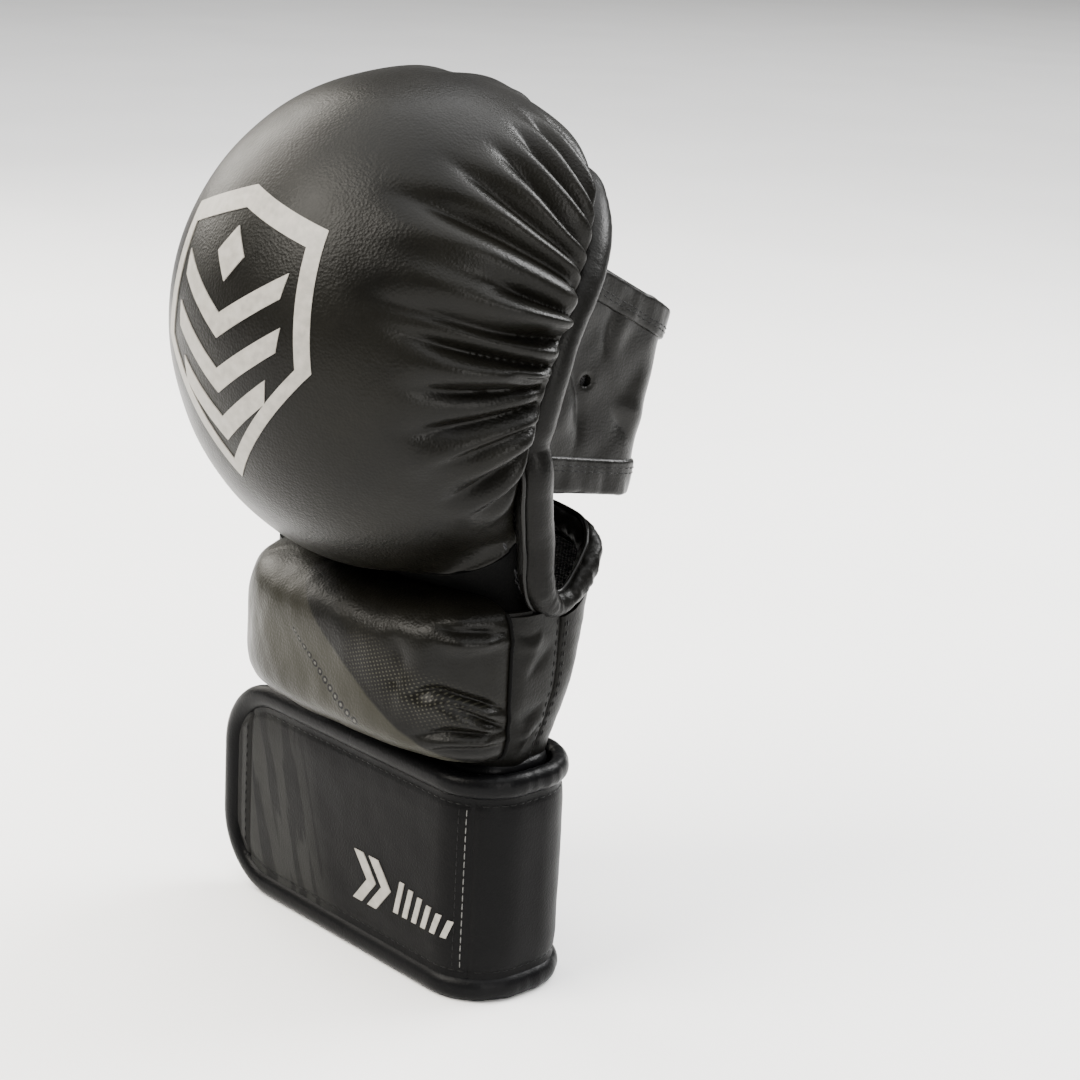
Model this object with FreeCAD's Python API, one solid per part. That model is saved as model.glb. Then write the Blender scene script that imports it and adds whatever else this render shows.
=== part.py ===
"""A right-hand open-thumb MMA sparring glove, empty and standing upright on its wrist cuff.

Frame, in millimetres: +Z up, from the cuff towards the fingertips. -Y is the back of the hand, +Y the palm.
+X is the little-finger side and -X the thumb side. The origin is the centre of the wrist opening, at the
height of the cuff's lower edge.

Five bodies move against each other. The cuff is the wrist sleeve and the fixed part of the strap. The flap
and its tab are the free end of the strap, which peels off the back of the wrist. The hand is the palm, the
side panels and the back-of-hand cushion. The knuckle pad is the domed cushion with the finger band in it.
"""

import FreeCAD, Part
import math
import os

Vector = FreeCAD.Vector

# --- driving dimensions -------------------------------------------------------------------------------
CLEARANCE = 0.3          # between sewn layers, so that no two solids share volume

CUFF_HALF_WIDTH = 52.0   # plan of the strap's outer face: a rounded rectangle, pressed flat as when empty
CUFF_HALF_DEPTH = 20.5
CUFF_CORNER = 17.0
CUFF_HEIGHT = 67.0
EDGE_HEIGHT = 7.0        # the rolled edge along the strap's top and bottom
EDGE_PROUD = 1.4         # how far the rolled edge stands out from the face
FACE = 1.2               # leather face of the strap
STRAP_FOAM = 2.0         # foam behind that face
FIELD = 1.0              # hook field, and the same for the loop field it sticks to
SEAM_ANGLE = -50.0       # where the free flap is sewn on, as an angle round the plan's corner
SEAM_GAP = 0.8
FLAP_END = -12.0         # x where the flap ends and the tab begins
TAB_TIP = -63.0          # x of the tab's rounded end
TAB_CORNER = 23.0

SLEEVE_LOW, SLEEVE_TOP = 3.0, 49.0
SLEEVE_WALL = 2.0
LINING = 0.9
FIELD_LOW, FIELD_TOP = 14.0, 47.0

PANEL = 1.6              # leather of the palm and side panels
# height, half width, half depth, centre y and corner of the hand part's outline
HAND_SECTIONS = [
    (55.0, 44.5, 13.6, 0.0, 11.0),
    (66.0, 45.5, 14.8, 0.3, 12.0),
    (76.0, 47.0, 17.6, 0.8, 13.0),
    (88.0, 49.0, 20.6, 2.0, 15.0),
    (105.0, 50.5, 23.0, 3.5, 16.0),
    (131.0, 51.0, 23.5, 5.0, 16.0),
]
HAND_BOTTOM, SIDE_TOP, BACK_TOP = 55.0, 109.0, 119.0
# side view of the palm's upper edge, as y and z, from the little-finger side towards the middle
PALM_EDGE = [(8.15, 109.0), (13.0, 110.5), (19.0, 114.5), (24.0, 120.5), (28.0, 124.5), (60.0, 124.5)]
PALM_SEAM_Y = 8.0        # where the side panels meet the palm
BACK_SEAM_Y = -10.0      # where the back panel meets the side panels

# back-of-hand cushion
CUSHION_HALF_WIDTH, CUSHION_CENTRE_X = 50.0, 1.0
CUSHION_LOW, CUSHION_HIGH = 71.0, 114.0
CUSHION_CROWN = -39.0    # y of its crown in the middle
CUSHION_SIDE = -30.0     # y of its crown at the two ends
CUSHION_BACK = -11.0     # y where it ends on the sides of the hand
CUSHION_ROUND = 8.0

THUMB_RADIUS = 13.0      # thumb opening: a slot with round ends
THUMB_CENTRE_Y = 8.0
THUMB_LOW, THUMB_HIGH = 89.0, 92.5     # centres of its two round ends
BINDING_RADIUS = 2.6
PALM_ROLL_RADIUS = 4.0
# centre line of the rolled edge along the top of the palm
PALM_ROLL = [
    (48.0, 12.0, 114.0),
    (47.6, 18.0, 118.3),
    (45.0, 23.5, 123.5),
    (38.5, 26.3, 127.0),
    (28.0, 27.2, 128.4),
    (10.0, 27.6, 128.8),
    (-10.0, 27.6, 128.8),
    (-24.0, 27.2, 128.4),
    (-34.0, 26.6, 127.6),
]

PAD_CENTRE_Y, PAD_CENTRE_Z = -7.0, 183.0
PAD_RADII = (67.0, 65.0, 69.0)
COVER = 1.4
LINER = 1.1
# side view of the pad's rim, as y and z, from the wrist end up
RIM = [
    (4.0, 111.0), (-8.0, 131.0), (-14.0, 152.0), (-14.5, 172.0),
    (-9.5, 190.0), (1.5, 207.0), (17.0, 222.5), (38.0, 236.0),
]
# side view of the finger pocket, as y and z, from the wrist end up
POCKET = [(-24.0, 102.0), (-30.0, 147.0), (-29.0, 185.0), (-14.0, 211.0), (20.0, 226.0), (80.0, 233.0)]
POCKET_HALF_WIDTH = 45.0
ROLL_RADIUS = 5.0        # rolled edge round the pad's rim
ROLL_LIFT = 5.4          # how far its centre line stands off the rim, towards the palm
ROLL_INSET = 8.5         # and how far inside the dome's outer form
ROLL_FOOT_X, ROLL_FOOT_Z = 50.0, 120.0
EMBLEM = [(0, 42), (27, 33), (31, -1), (0, -36), (-31, -1), (-27, 33)]
EMBLEM_THICK = 0.4

BAND = 1.8               # finger band leather
HEM_HEIGHT = 9.5
HEM_PROUD = 0.9
BAND_HALF_WIDTH = 44.6
BAND_CORNER = 11.0
# height, half depth and centre y of the finger band's outline
BAND_SECTIONS = [(127.0, 30.0, 7.5), (162.0, 32.0, 15.5), (197.0, 35.0, 22.4), (219.0, 35.0, 24.0)]
BAND_LOW = (144.0, -0.17)   # height of its lower edge at y = 0, and its slope along y
BAND_HIGH = (214.0, -0.5)   # the same for its upper edge
DIVIDER = 1.4
DIVIDER_SPACING = 21.5
DIVIDER_LOW, DIVIDER_HIGH = 146.0, 184.0

FAR = 200.0


# --- helpers ------------------------------------------------------------------------------------------
def rounded_wire(half_width, half_depth, corner, centre_y, z):
    """A rounded rectangle across Z: four quarter arcs joined by four lines."""
    points = []
    for k, (sx, sy) in enumerate(((1, 1), (-1, 1), (-1, -1), (1, -1))):
        centre = Vector(sx * (half_width - corner), centre_y + sy * (half_depth - corner), z)
        for degrees in (90 * k, 90 * k + 45, 90 * k + 90):
            angle = math.radians(degrees)
            points.append(centre + Vector(math.cos(angle), math.sin(angle), 0) * corner)
    edges = []
    for k in range(0, 12, 3):
        edges.append(Part.Arc(*points[k : k + 3]).toShape())
        edges.append(Part.LineSegment(points[k + 2], points[(k + 3) % 12]).toShape())
    return Part.Wire(edges)


def rounded_block(half_width, half_depth, corner, low, high):
    """A straight block with a rounded-rectangle plan."""
    wire = rounded_wire(half_width, half_depth, corner, 0.0, low)
    return Part.Face(wire).extrude(Vector(0, 0, high - low))


def ring(outset, inset, low, high):
    """The strap's plan between two offsets from its outer face; outset is outwards, inset inwards."""
    sizes = (CUFF_HALF_WIDTH, CUFF_HALF_DEPTH, CUFF_CORNER)
    outer = rounded_block(*[s + outset for s in sizes], low, high)
    inner = rounded_block(*[s - inset for s in sizes], low - 1, high + 1)
    return outer.cut(inner)


def prism(points, axis, low, high):
    """A polygon, given as pairs in the plane across axis, stretched from low to high along it."""
    place = {
        "x": lambda a, b: Vector(low, a, b),
        "y": lambda a, b: Vector(a, low, b),
        "z": lambda a, b: Vector(a, b, low),
    }[axis]
    step = {"x": Vector(1, 0, 0), "y": Vector(0, 1, 0), "z": Vector(0, 0, 1)}[axis]
    corners = [place(a, b) for a, b in points]
    return Part.Face(Part.makePolygon(corners + corners[:1])).extrude(step * (high - low))


def box(x0, x1, y0, y1, z0, z1):
    return Part.makeBox(x1 - x0, y1 - y0, z1 - z0, Vector(x0, y0, z0))


def tube(points, radius):
    """A round tube through the points: one ruled skin over circles that stand square to the path."""
    rings = []
    for i, point in enumerate(points):
        before, after = points[max(i - 1, 0)], points[min(i + 1, len(points) - 1)]
        circle = Part.makeCircle(radius, point, (after - before).normalize())
        rings.append(Part.Wire([circle]))
    return Part.makeLoft(rings, True, True)


def biggest(shape):
    """The largest solid of a cut shape, without any sliver that the cut leaves beside it."""
    return max(shape.Solids, key=lambda solid: solid.Volume)


def ellipsoid(shrink):
    """The pad's outer form, smaller by shrink on every radius."""
    radii = [r - shrink for r in PAD_RADII]
    matrix = FreeCAD.Matrix()
    matrix.scale(Vector(*radii))
    ball = Part.makeSphere(1.0).transformGeometry(matrix)
    ball.translate(Vector(0, PAD_CENTRE_Y, PAD_CENTRE_Z))
    return ball


# --- cuff ---------------------------------------------------------------------------------------------
def strap_zone(gap):
    """The free part of the strap's plan: the back of the wrist, from the sewn seam to the thumb side."""
    angle = math.radians(SEAM_ANGLE)
    cx, cy = CUFF_HALF_WIDTH - CUFF_CORNER, CUFF_CORNER - CUFF_HALF_DEPTH
    shift = Vector(math.sin(angle), -math.cos(angle), 0) * gap
    start = Vector(cx, cy, 0) + shift
    far = start + Vector(math.cos(angle), math.sin(angle), 0) * 60
    end_y = cy + 1 - gap
    outline = [(start.x, start.y), (far.x, far.y), (-FAR, far.y), (-FAR, end_y), (start.x - 30, end_y)]
    return prism(outline, "z", -5, CUFF_HEIGHT + 5)


def sleeve_block(offset, low, high):
    """A block inside the strap, offset inwards from the face of the wrist sleeve."""
    inwards = FACE + STRAP_FOAM + 2 * FIELD + 2 * CLEARANCE + offset
    sizes = (CUFF_HALF_WIDTH, CUFF_HALF_DEPTH, CUFF_CORNER)
    return rounded_block(*[s - inwards for s in sizes], low, high)


def build_cuff():
    over, under = SLEEVE_TOP + 5, SLEEVE_LOW - 5
    sleeve = sleeve_block(0, SLEEVE_LOW, SLEEVE_TOP).cut(sleeve_block(SLEEVE_WALL, under, over))
    inner = SLEEVE_WALL + CLEARANCE
    lining = sleeve_block(inner, SLEEVE_LOW - 1, SLEEVE_TOP + 0.5)
    lining = lining.cut(sleeve_block(inner + LINING, under, over))
    sleeve_y = CUFF_HALF_DEPTH - FACE - STRAP_FOAM - 2 * FIELD - 2 * CLEARANCE
    patch_y = sleeve_y + 2 * FIELD + CLEARANCE
    free = strap_zone(-SEAM_GAP)
    low, high = EDGE_HEIGHT, CUFF_HEIGHT - EDGE_HEIGHT
    inset = FACE + STRAP_FOAM
    return {
        "wrist_sleeve": sleeve,
        "wrist_sleeve_lining": lining,
        "loop_field": box(-30, 30, -sleeve_y - FIELD, -sleeve_y, FIELD_LOW, FIELD_TOP),
        "strap_anchor_patch": box(-30, 30, sleeve_y, patch_y, FIELD_LOW, FIELD_TOP),
        "strap_wrap_face": ring(0, FACE, low, high).cut(free),
        "strap_wrap_foam": ring(-FACE, inset, low, high).cut(free),
        "strap_wrap_lower_edge": ring(EDGE_PROUD, inset, 0, low).cut(free),
        "strap_wrap_upper_edge": ring(EDGE_PROUD, inset, high, CUFF_HEIGHT).cut(free),
    }


def build_flap():
    """The part of the strap that is hinged at the sewn seam and turns the corner onto the back."""
    zone = strap_zone(0).common(box(FLAP_END, FAR, -FAR, FAR, -5, CUFF_HEIGHT + 5))
    low, high = EDGE_HEIGHT, CUFF_HEIGHT - EDGE_HEIGHT
    inset = FACE + STRAP_FOAM
    inner_y = -CUFF_HALF_DEPTH + inset
    return {
        "flap_face": ring(0, FACE, low, high).common(zone),
        "flap_foam": ring(-FACE, inset, low, high).common(zone),
        "flap_lower_edge": ring(EDGE_PROUD, inset, 0, low).common(zone),
        "flap_upper_edge": ring(EDGE_PROUD, inset, high, CUFF_HEIGHT).common(zone),
        "flap_hook_field": box(FLAP_END + 1, 26, inner_y, inner_y + FIELD, FIELD_LOW, FIELD_TOP),
    }


def tab_outline(inset, y0, y1):
    """The tab: square where it joins the flap, with two large round corners at its tip."""
    right = FLAP_END - SEAM_GAP
    tip, low, high = TAB_TIP + inset, inset, CUFF_HEIGHT - inset
    corner = TAB_CORNER - inset
    diagonal = corner * (1 - math.sqrt(0.5))
    a, b = Vector(right, y0, low), Vector(tip + corner, y0, low)
    c, d = Vector(tip, y0, low + corner), Vector(tip, y0, high - corner)
    e, f = Vector(tip + corner, y0, high), Vector(right, y0, high)
    edges = [
        Part.LineSegment(a, b).toShape(),
        Part.Arc(b, Vector(tip + diagonal, y0, low + diagonal), c).toShape(),
        Part.LineSegment(c, d).toShape(),
        Part.Arc(d, Vector(tip + diagonal, y0, high - diagonal), e).toShape(),
        Part.LineSegment(e, f).toShape(),
        Part.LineSegment(f, a).toShape(),
    ]
    return Part.Face(Part.Wire(edges)).extrude(Vector(0, y1 - y0, 0))


def build_tab():
    outer = -CUFF_HALF_DEPTH
    inner = outer + FACE + STRAP_FOAM
    edge = tab_outline(0, outer - EDGE_PROUD, inner).cut(tab_outline(EDGE_HEIGHT, outer - 5, inner + 5))
    return {
        "tab_face": tab_outline(EDGE_HEIGHT, outer, outer + FACE),
        "tab_foam": tab_outline(EDGE_HEIGHT, outer + FACE, inner),
        "tab_edge": edge,
        "tab_hook_field": box(-50, FLAP_END - 2, inner, inner + FIELD, FIELD_LOW, FIELD_TOP),
    }


# --- hand ---------------------------------------------------------------------------------------------
def hand_block(offset):
    """The hand part's outer form, offset inwards. Offset forms run on past both ends."""
    wires = []
    for i, (z, half_width, half_depth, centre_y, corner) in enumerate(HAND_SECTIONS):
        if offset and i == 0:
            z -= 2
        if offset and i == len(HAND_SECTIONS) - 1:
            z += 2
        wires.append(rounded_wire(half_width - offset, half_depth - offset, corner - offset, centre_y, z))
    return Part.makeLoft(wires, True, False)


def thumb_slot(radius, x0, x1):
    """The thumb opening, stretched along X."""
    width = x1 - x0
    parts = [
        Part.makeCylinder(radius, width, Vector(x0, THUMB_CENTRE_Y, z), Vector(1, 0, 0))
        for z in (THUMB_LOW, THUMB_HIGH)
    ]
    middle = box(x0, x1, THUMB_CENTRE_Y - radius, THUMB_CENTRE_Y + radius, THUMB_LOW, THUMB_HIGH)
    return parts[0].fuse([parts[1], middle]).removeSplitter()


def hand_surface_x(y, z):
    """Half width of the hand part's outer form at a point of its side view."""
    for lower, upper in zip(HAND_SECTIONS, HAND_SECTIONS[1:]):
        if z <= upper[0]:
            break
    share = (z - lower[0]) / (upper[0] - lower[0])
    half_width, half_depth, centre_y, corner = [a + (b - a) * share for a, b in zip(lower[1:], upper[1:])]
    beyond = min(max(abs(y - centre_y) - (half_depth - corner), 0), 0.95 * corner)
    return half_width - corner + math.sqrt(corner * corner - beyond * beyond)


def thumb_binding(grow=0.0):
    """The rolled edge of the thumb opening: a tube round the slot, on the surface of the hand part."""
    radius = THUMB_RADIUS + BINDING_RADIUS + 0.2
    points = []
    for i in range(33):
        angle = math.radians(2 + 356 * i / 32)
        z = THUMB_HIGH if angle < math.pi else THUMB_LOW
        y, z = THUMB_CENTRE_Y + radius * math.cos(angle), z + radius * math.sin(angle)
        points.append(Vector(-hand_surface_x(y, z) - BINDING_RADIUS - 0.3, y, z))
    return tube(points, BINDING_RADIUS + grow)


def cushion_block(inset):
    """The back-of-hand cushion's outer form, with rounded front edges, before the hand is taken out of it."""
    half_width, centre = CUSHION_HALF_WIDTH - inset, CUSHION_CENTRE_X
    z0, z1 = CUSHION_LOW + inset, CUSHION_HIGH - inset
    side, crown, back = CUSHION_SIDE + inset, CUSHION_CROWN + inset, CUSHION_BACK - inset
    a, b = Vector(centre + half_width, back, z0), Vector(centre - half_width, back, z0)
    c, d = Vector(centre - half_width, side, z0), Vector(centre, crown, z0)
    e = Vector(centre + half_width, side, z0)
    edges = [
        Part.LineSegment(a, b).toShape(),
        Part.LineSegment(b, c).toShape(),
        Part.Arc(c, d, e).toShape(),
        Part.LineSegment(e, a).toShape(),
    ]
    block = Part.Face(Part.Wire(edges)).extrude(Vector(0, 0, z1 - z0))
    front = [edge for edge in block.Edges if edge.BoundBox.YMax < side + 0.01]
    return block.makeFillet(CUSHION_ROUND - inset, front)


def build_hand():
    shell = hand_block(0).cut(hand_block(PANEL))
    lining = hand_block(PANEL + CLEARANCE).cut(hand_block(PANEL + CLEARANCE + LINING))
    lining = lining.common(box(-FAR, FAR, -FAR, FAR, HAND_BOTTOM, SIDE_TOP - 1))
    slot = thumb_slot(THUMB_RADIUS, -FAR, -30)
    wide_slot = thumb_slot(THUMB_RADIUS + 0.6, -FAR, -30)
    gap = CLEARANCE / 2
    palm_roll = [Vector(*p) for p in PALM_ROLL]
    rolls = [tube(palm_roll, PALM_ROLL_RADIUS + CLEARANCE), thumb_binding(CLEARANCE)]
    palm_zone = prism(PALM_EDGE + [(60.0, 50.0), (PALM_SEAM_Y + gap, 50.0)], "x", -FAR, FAR)
    side = (BACK_SEAM_Y + gap, PALM_SEAM_Y - gap, HAND_BOTTOM, SIDE_TOP)
    back_zone = box(-FAR, FAR, -FAR, BACK_SEAM_Y - gap, HAND_BOTTOM, BACK_TOP)
    hull = hand_block(-CLEARANCE)
    return {
        "palm_panel": biggest(shell.common(palm_zone).cut(slot).cut(rolls)),
        "little_finger_side_panel": shell.common(box(0, FAR, *side)),
        "thumb_side_panel": shell.common(box(-FAR, 0, *side)).cut(slot).cut(rolls),
        "back_panel": shell.common(back_zone),
        "hand_lining": lining.cut(wide_slot),
        "back_cushion_cover": cushion_block(0).cut(cushion_block(COVER)).cut(hull),
        "back_cushion_foam": cushion_block(COVER + 0.1).cut(hull),
        "palm_top_roll": tube(palm_roll, PALM_ROLL_RADIUS),
        "thumb_opening_binding": thumb_binding(),
    }


# --- knuckle pad --------------------------------------------------------------------------------------
def rim_curve(x):
    curve = Part.BSplineCurve()
    curve.interpolate([Vector(x, y, z) for y, z in RIM])
    return curve


def rim_side(back, shift=0.0):
    """Everything on the back (True) or the palm (False) side of the pad's rim, moved by shift along Y."""
    x = -100.0
    (y0, z0), (y1, z1) = RIM[0], RIM[-1]
    away = -150.0 if back else 150.0
    corners = [(y1, z1), (y1 + 40, z1 + 60), (away, z1 + 60), (away, z0 - 20), (y0 + 6, z0 - 20), (y0, z0)]
    corners = [Vector(x, y, z) for y, z in corners]
    edges = [Part.LineSegment(a, b).toShape() for a, b in zip(corners, corners[1:])]
    face = Part.Face(Part.Wire([rim_curve(x).toShape()] + edges))
    side = face.extrude(Vector(200, 0, 0))
    side.translate(Vector(0, shift, 0))
    return side


def dome_half_width(y, z, inset):
    """Half width of the dome, made smaller by inset, at a point of its side view; 0 outside it."""
    dy = (y - PAD_CENTRE_Y) / (PAD_RADII[1] - inset)
    dz = (z - PAD_CENTRE_Z) / (PAD_RADII[2] - inset)
    return (PAD_RADII[0] - inset) * math.sqrt(max(1 - dy * dy - dz * dz, 0))


def resample(points, count):
    """The same path as count points, evenly spaced along it."""
    lengths = [0.0]
    for a, b in zip(points, points[1:]):
        lengths.append(lengths[-1] + (b - a).Length)
    result = []
    k = 0
    for i in range(count):
        wanted = lengths[-1] * i / (count - 1)
        while k < len(points) - 2 and lengths[k + 1] < wanted:
            k += 1
        share = (wanted - lengths[k]) / (lengths[k + 1] - lengths[k])
        result.append(points[k] + (points[k + 1] - points[k]) * share)
    return result


def roll_path():
    """Centre line of the rim's roll: up the little-finger side, over the top and down the thumb side."""
    curve = rim_curve(0.0)
    first, last = curve.FirstParameter, curve.LastParameter
    side = []
    for i in range(241):
        at = first + (last - first) * i / 240
        point, tangent = curve.value(at), curve.tangent(at)[0]
        centre = point + Vector(0, tangent.z, -tangent.y) * ROLL_LIFT
        x = dome_half_width(point.y, point.z, ROLL_INSET)
        if point.z < PAD_CENTRE_Z:
            x = max(x, ROLL_FOOT_X)
        if x > 0 and centre.z > ROLL_FOOT_Z:
            side.append(Vector(x, centre.y, centre.z))
    return resample(side + [Vector(-p.x, p.y, p.z) for p in reversed(side)], 41)


def pocket_block(offset):
    """The finger pocket behind the pad, larger by offset on the sides and on its far wall."""
    points = [(y - offset * 0.9, z + offset * 0.4) for y, z in POCKET]
    points += [(150.0, points[-1][1]), (150.0, points[0][1])]
    half_width = POCKET_HALF_WIDTH + offset
    return prism(points, "x", -half_width, half_width)


def emblem():
    """A generic printed mark: a thin six-sided plate that follows the dome."""
    outline = [(x, PAD_CENTRE_Z + z) for x, z in EMBLEM]
    column = prism(outline, "y", -FAR, 0)
    return ellipsoid(-EMBLEM_THICK - 0.05).cut(ellipsoid(-0.05)).common(column)


def band_block(offset):
    wires = [
        rounded_wire(BAND_HALF_WIDTH + offset, half_depth + offset, BAND_CORNER + offset, centre_y, z)
        for z, half_depth, centre_y in BAND_SECTIONS
    ]
    return Part.makeLoft(wires, True, False)


def band_zone(low, high):
    """Side view between two sloping lines, each given as its height at y = 0 and its slope."""
    ends = (-30.0, 80.0)
    points = [(y, low[0] + low[1] * y) for y in ends]
    points += [(y, high[0] + high[1] * y) for y in reversed(ends)]
    return prism(points, "x", -FAR, FAR)


def build_knuckle_pad():
    back, roll = rim_side(True), roll_path()
    palm = rim_side(False, 1.0).cut(tube(roll, ROLL_RADIUS + CLEARANCE))
    pocket, wide_pocket = pocket_block(0), pocket_block(LINER + CLEARANCE)
    cover = ellipsoid(0).cut(ellipsoid(COVER))
    liner = pocket_block(LINER).cut(pocket).common(ellipsoid(COVER + 1))
    band = band_block(0).cut(band_block(-BAND)).common(palm)
    inner = BAND + CLEARANCE
    lining = band_block(-inner).cut(band_block(-inner - LINING)).common(palm)
    hem = band_block(HEM_PROUD + 0.1).cut(band_block(0.1)).common(palm)
    whole = band_zone(BAND_LOW, BAND_HIGH)
    web_room = band_block(-inner - LINING - CLEARANCE).common(pocket_block(-CLEARANCE))
    webs = [
        web_room.common(box(x - DIVIDER / 2, x + DIVIDER / 2, -FAR, FAR, DIVIDER_LOW, DIVIDER_HIGH))
        for x in (-DIVIDER_SPACING, 0.0, DIVIDER_SPACING)
    ]
    return {
        "knuckle_cover": cover.common(back).cut(wide_pocket),
        "knuckle_foam": ellipsoid(COVER + 0.1).common(back).cut(wide_pocket),
        "knuckle_liner": liner.common(back),
        "rim_roll": tube(roll, ROLL_RADIUS),
        "dome_emblem": emblem(),
        "finger_band": band.common(whole),
        "finger_band_lining": lining.common(whole),
        "finger_band_top_hem": hem.common(band_zone((BAND_HIGH[0] - HEM_HEIGHT, BAND_HIGH[1]), BAND_HIGH)),
        "finger_band_bottom_hem": hem.common(band_zone(BAND_LOW, (BAND_LOW[0] + HEM_HEIGHT, BAND_LOW[1]))),
        "finger_dividers": Part.makeCompound(webs),
    }


# --- export -------------------------------------------------------------------------------------------
def main():
    os.makedirs("parts", exist_ok=True)
    nodes = {}
    for group in (build_cuff(), build_flap(), build_tab(), build_hand(), build_knuckle_pad()):
        nodes.update(group)
    for name, shape in nodes.items():
        solids = shape.Solids
        if not solids or not all(s.isValid() and s.Volume > 0 for s in solids):
            print("PROBLEM", name, len(solids))
        keep = solids[0] if len(solids) == 1 else Part.makeCompound(solids)
        keep.exportStep(os.path.join("parts", name + ".step"))
        b = keep.optimalBoundingBox(False, False)
        low, high = (b.XMin, b.YMin, b.ZMin), (b.XMax, b.YMax, b.ZMax)
        spans = " ".join("%.1f..%.1f" % pair for pair in zip(low, high))
        print("%-24s solids %d volume %9.1f  %s" % (name, len(solids), keep.Volume, spans))


main()
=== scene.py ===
"""The looks of a right-hand open-thumb MMA sparring glove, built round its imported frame.

Lengths are in millimetres until a mesh is made. +Z points to the fingers, -Y is the back of the hand,
+Y the palm, +X the little-finger side and -X the thumb side. The origin is the centre of the wrist opening.
"""

import math
import bpy
import numpy as np
from mathutils import Matrix, Vector


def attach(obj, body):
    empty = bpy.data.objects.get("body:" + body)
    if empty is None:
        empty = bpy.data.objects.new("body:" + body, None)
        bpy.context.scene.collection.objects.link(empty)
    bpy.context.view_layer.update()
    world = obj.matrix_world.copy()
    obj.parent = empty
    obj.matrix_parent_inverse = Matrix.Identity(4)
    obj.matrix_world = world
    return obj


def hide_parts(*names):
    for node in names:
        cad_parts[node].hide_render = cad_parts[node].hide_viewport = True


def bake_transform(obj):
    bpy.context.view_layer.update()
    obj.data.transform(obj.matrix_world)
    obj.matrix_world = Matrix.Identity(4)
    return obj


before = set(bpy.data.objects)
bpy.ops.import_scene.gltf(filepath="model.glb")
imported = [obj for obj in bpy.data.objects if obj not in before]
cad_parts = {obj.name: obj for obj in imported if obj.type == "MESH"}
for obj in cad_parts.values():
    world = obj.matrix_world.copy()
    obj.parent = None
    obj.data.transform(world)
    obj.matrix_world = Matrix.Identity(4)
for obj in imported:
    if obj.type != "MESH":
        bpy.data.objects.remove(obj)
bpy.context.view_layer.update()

MM = 0.001
SHARP = math.radians(62)
FINE = 1.0      # share of the full mesh density
GLOSS = 0.08              # specular level of the coated leather

# --- driving dimensions -------------------------------------------------------------------------------
DOME_CENTRE = np.array([0.0, -7.0, 183.0])
DOME_RADII = np.array([67.0, 65.0, 69.0])
# side view of the dome's seam, as y and z, from the wrist end up
RIM = [(-8, 131), (-14, 152), (-14.5, 172), (-9.5, 190), (1.5, 207), (17, 222.5), (38, 236)]
SEAM_INSET = 5.5         # how far inside the dome's form the seam is pulled
ROLL_INSET = 8.5
# the seam under the dome, on the little-finger side, from the middle outwards
UNDER_SEAM = [(0, -24, 118), (20, -23, 119.5), (36, -20, 122), (44, -14, 126)]
FOOT_X = 47.5            # half width of the seam at its lowest flank point
SEAM_ROUND = 10.0        # width of the rounding towards the seam
RIM_SHOULDER = 188.0     # height above which the roll spreads
ROLL_STAND = 2.8         # how much further out the roll stands than the seam
CREASE_DEPTH, CREASE_RIDGE = 1.2, 1.35    # scale of the dome's creases

# rolled edge from the middle of the palm round the corner to the foot of the rim: x, y, z, radius
PALM_ROLL = [
    (0, 27.6, 128.8, 3.7), (14, 27.5, 128.7, 3.7), (28, 27.2, 128.4, 3.6), (38.5, 26.3, 126.8, 3.6),
    (44.6, 23.5, 123.3, 3.6), (47.4, 18.5, 118.9, 3.6), (48.8, 13.3, 115.0, 3.4), (49.6, 8.2, 112.9, 3.3),
    (50.1, 3.4, 113.4, 3.7), (50.4, -0.6, 117.6, 4.5), (50.3, -2.6, 124.0, 5.0),
]
ROLL_LOW, ROLL_HIGH = 5.3, 4.7            # radius of the rim's roll at its foot and at the top
WELT_RADIUS, PIPING_RADIUS = 0.62, 0.7
# halves of the neck's two edges, and of the liner's edge below the rim, from the middle outwards
NECK_TOP = [(0, -24.2, 118.5), (20, -23.3, 120), (37, -20, 122.5), (45.5, -12, 127), (48, -8, 132)]
NECK_FOOT = [(0, -17.5, 104), (20, -17.5, 104), (38, -16, 104), (46, -9, 104), (49, 0, 106)]
LINER_FOOT = [(0, -12, 110), (25, -12, 110), (38, -9, 110), (44, -3, 111), (45.6, 0, 115), (46.5, -3.5, 124)]

# sections of the hand and of the finger band: height, half width, half depth, centre y, corner radius
HAND_SECTIONS = np.array([
    (55.0, 44.5, 13.6, 0.0, 11.0),
    (66.0, 45.5, 14.8, 0.3, 12.0),
    (76.0, 47.0, 17.6, 0.8, 13.0),
    (88.0, 49.0, 20.6, 2.0, 15.0),
    (105.0, 50.5, 23.0, 3.5, 16.0),
    (131.0, 51.0, 23.5, 5.0, 16.0),
])
HAND_BOTTOM = 55.0
PALM_EDGE = np.array([(8, 109), (13, 110.5), (19, 114.5), (24, 120.5), (28, 126.0), (60, 126.0)])
PALM_SEAM_Y = 8.0
PALM_TUCK = [(-30, 29, 126), (-33, 26, 112), (-36, 22, 98), (-38, 18, 84), (-38, 14, 70)]
SIDE_BACK_Y, SIDE_TOP, BACK_TOP = -12.5, 112.0, 113.0
PANEL, LINING = 1.6, 0.9                  # thickness of the hand's panels and of every lining
THUMB_RADIUS, THUMB_CENTRE_Y, THUMB_LOW, THUMB_HIGH = 13.0, 8.0, 89.0, 92.5
SLOT_STEP = 0.8          # points this close inside the thumb opening move onto its edge

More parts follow.
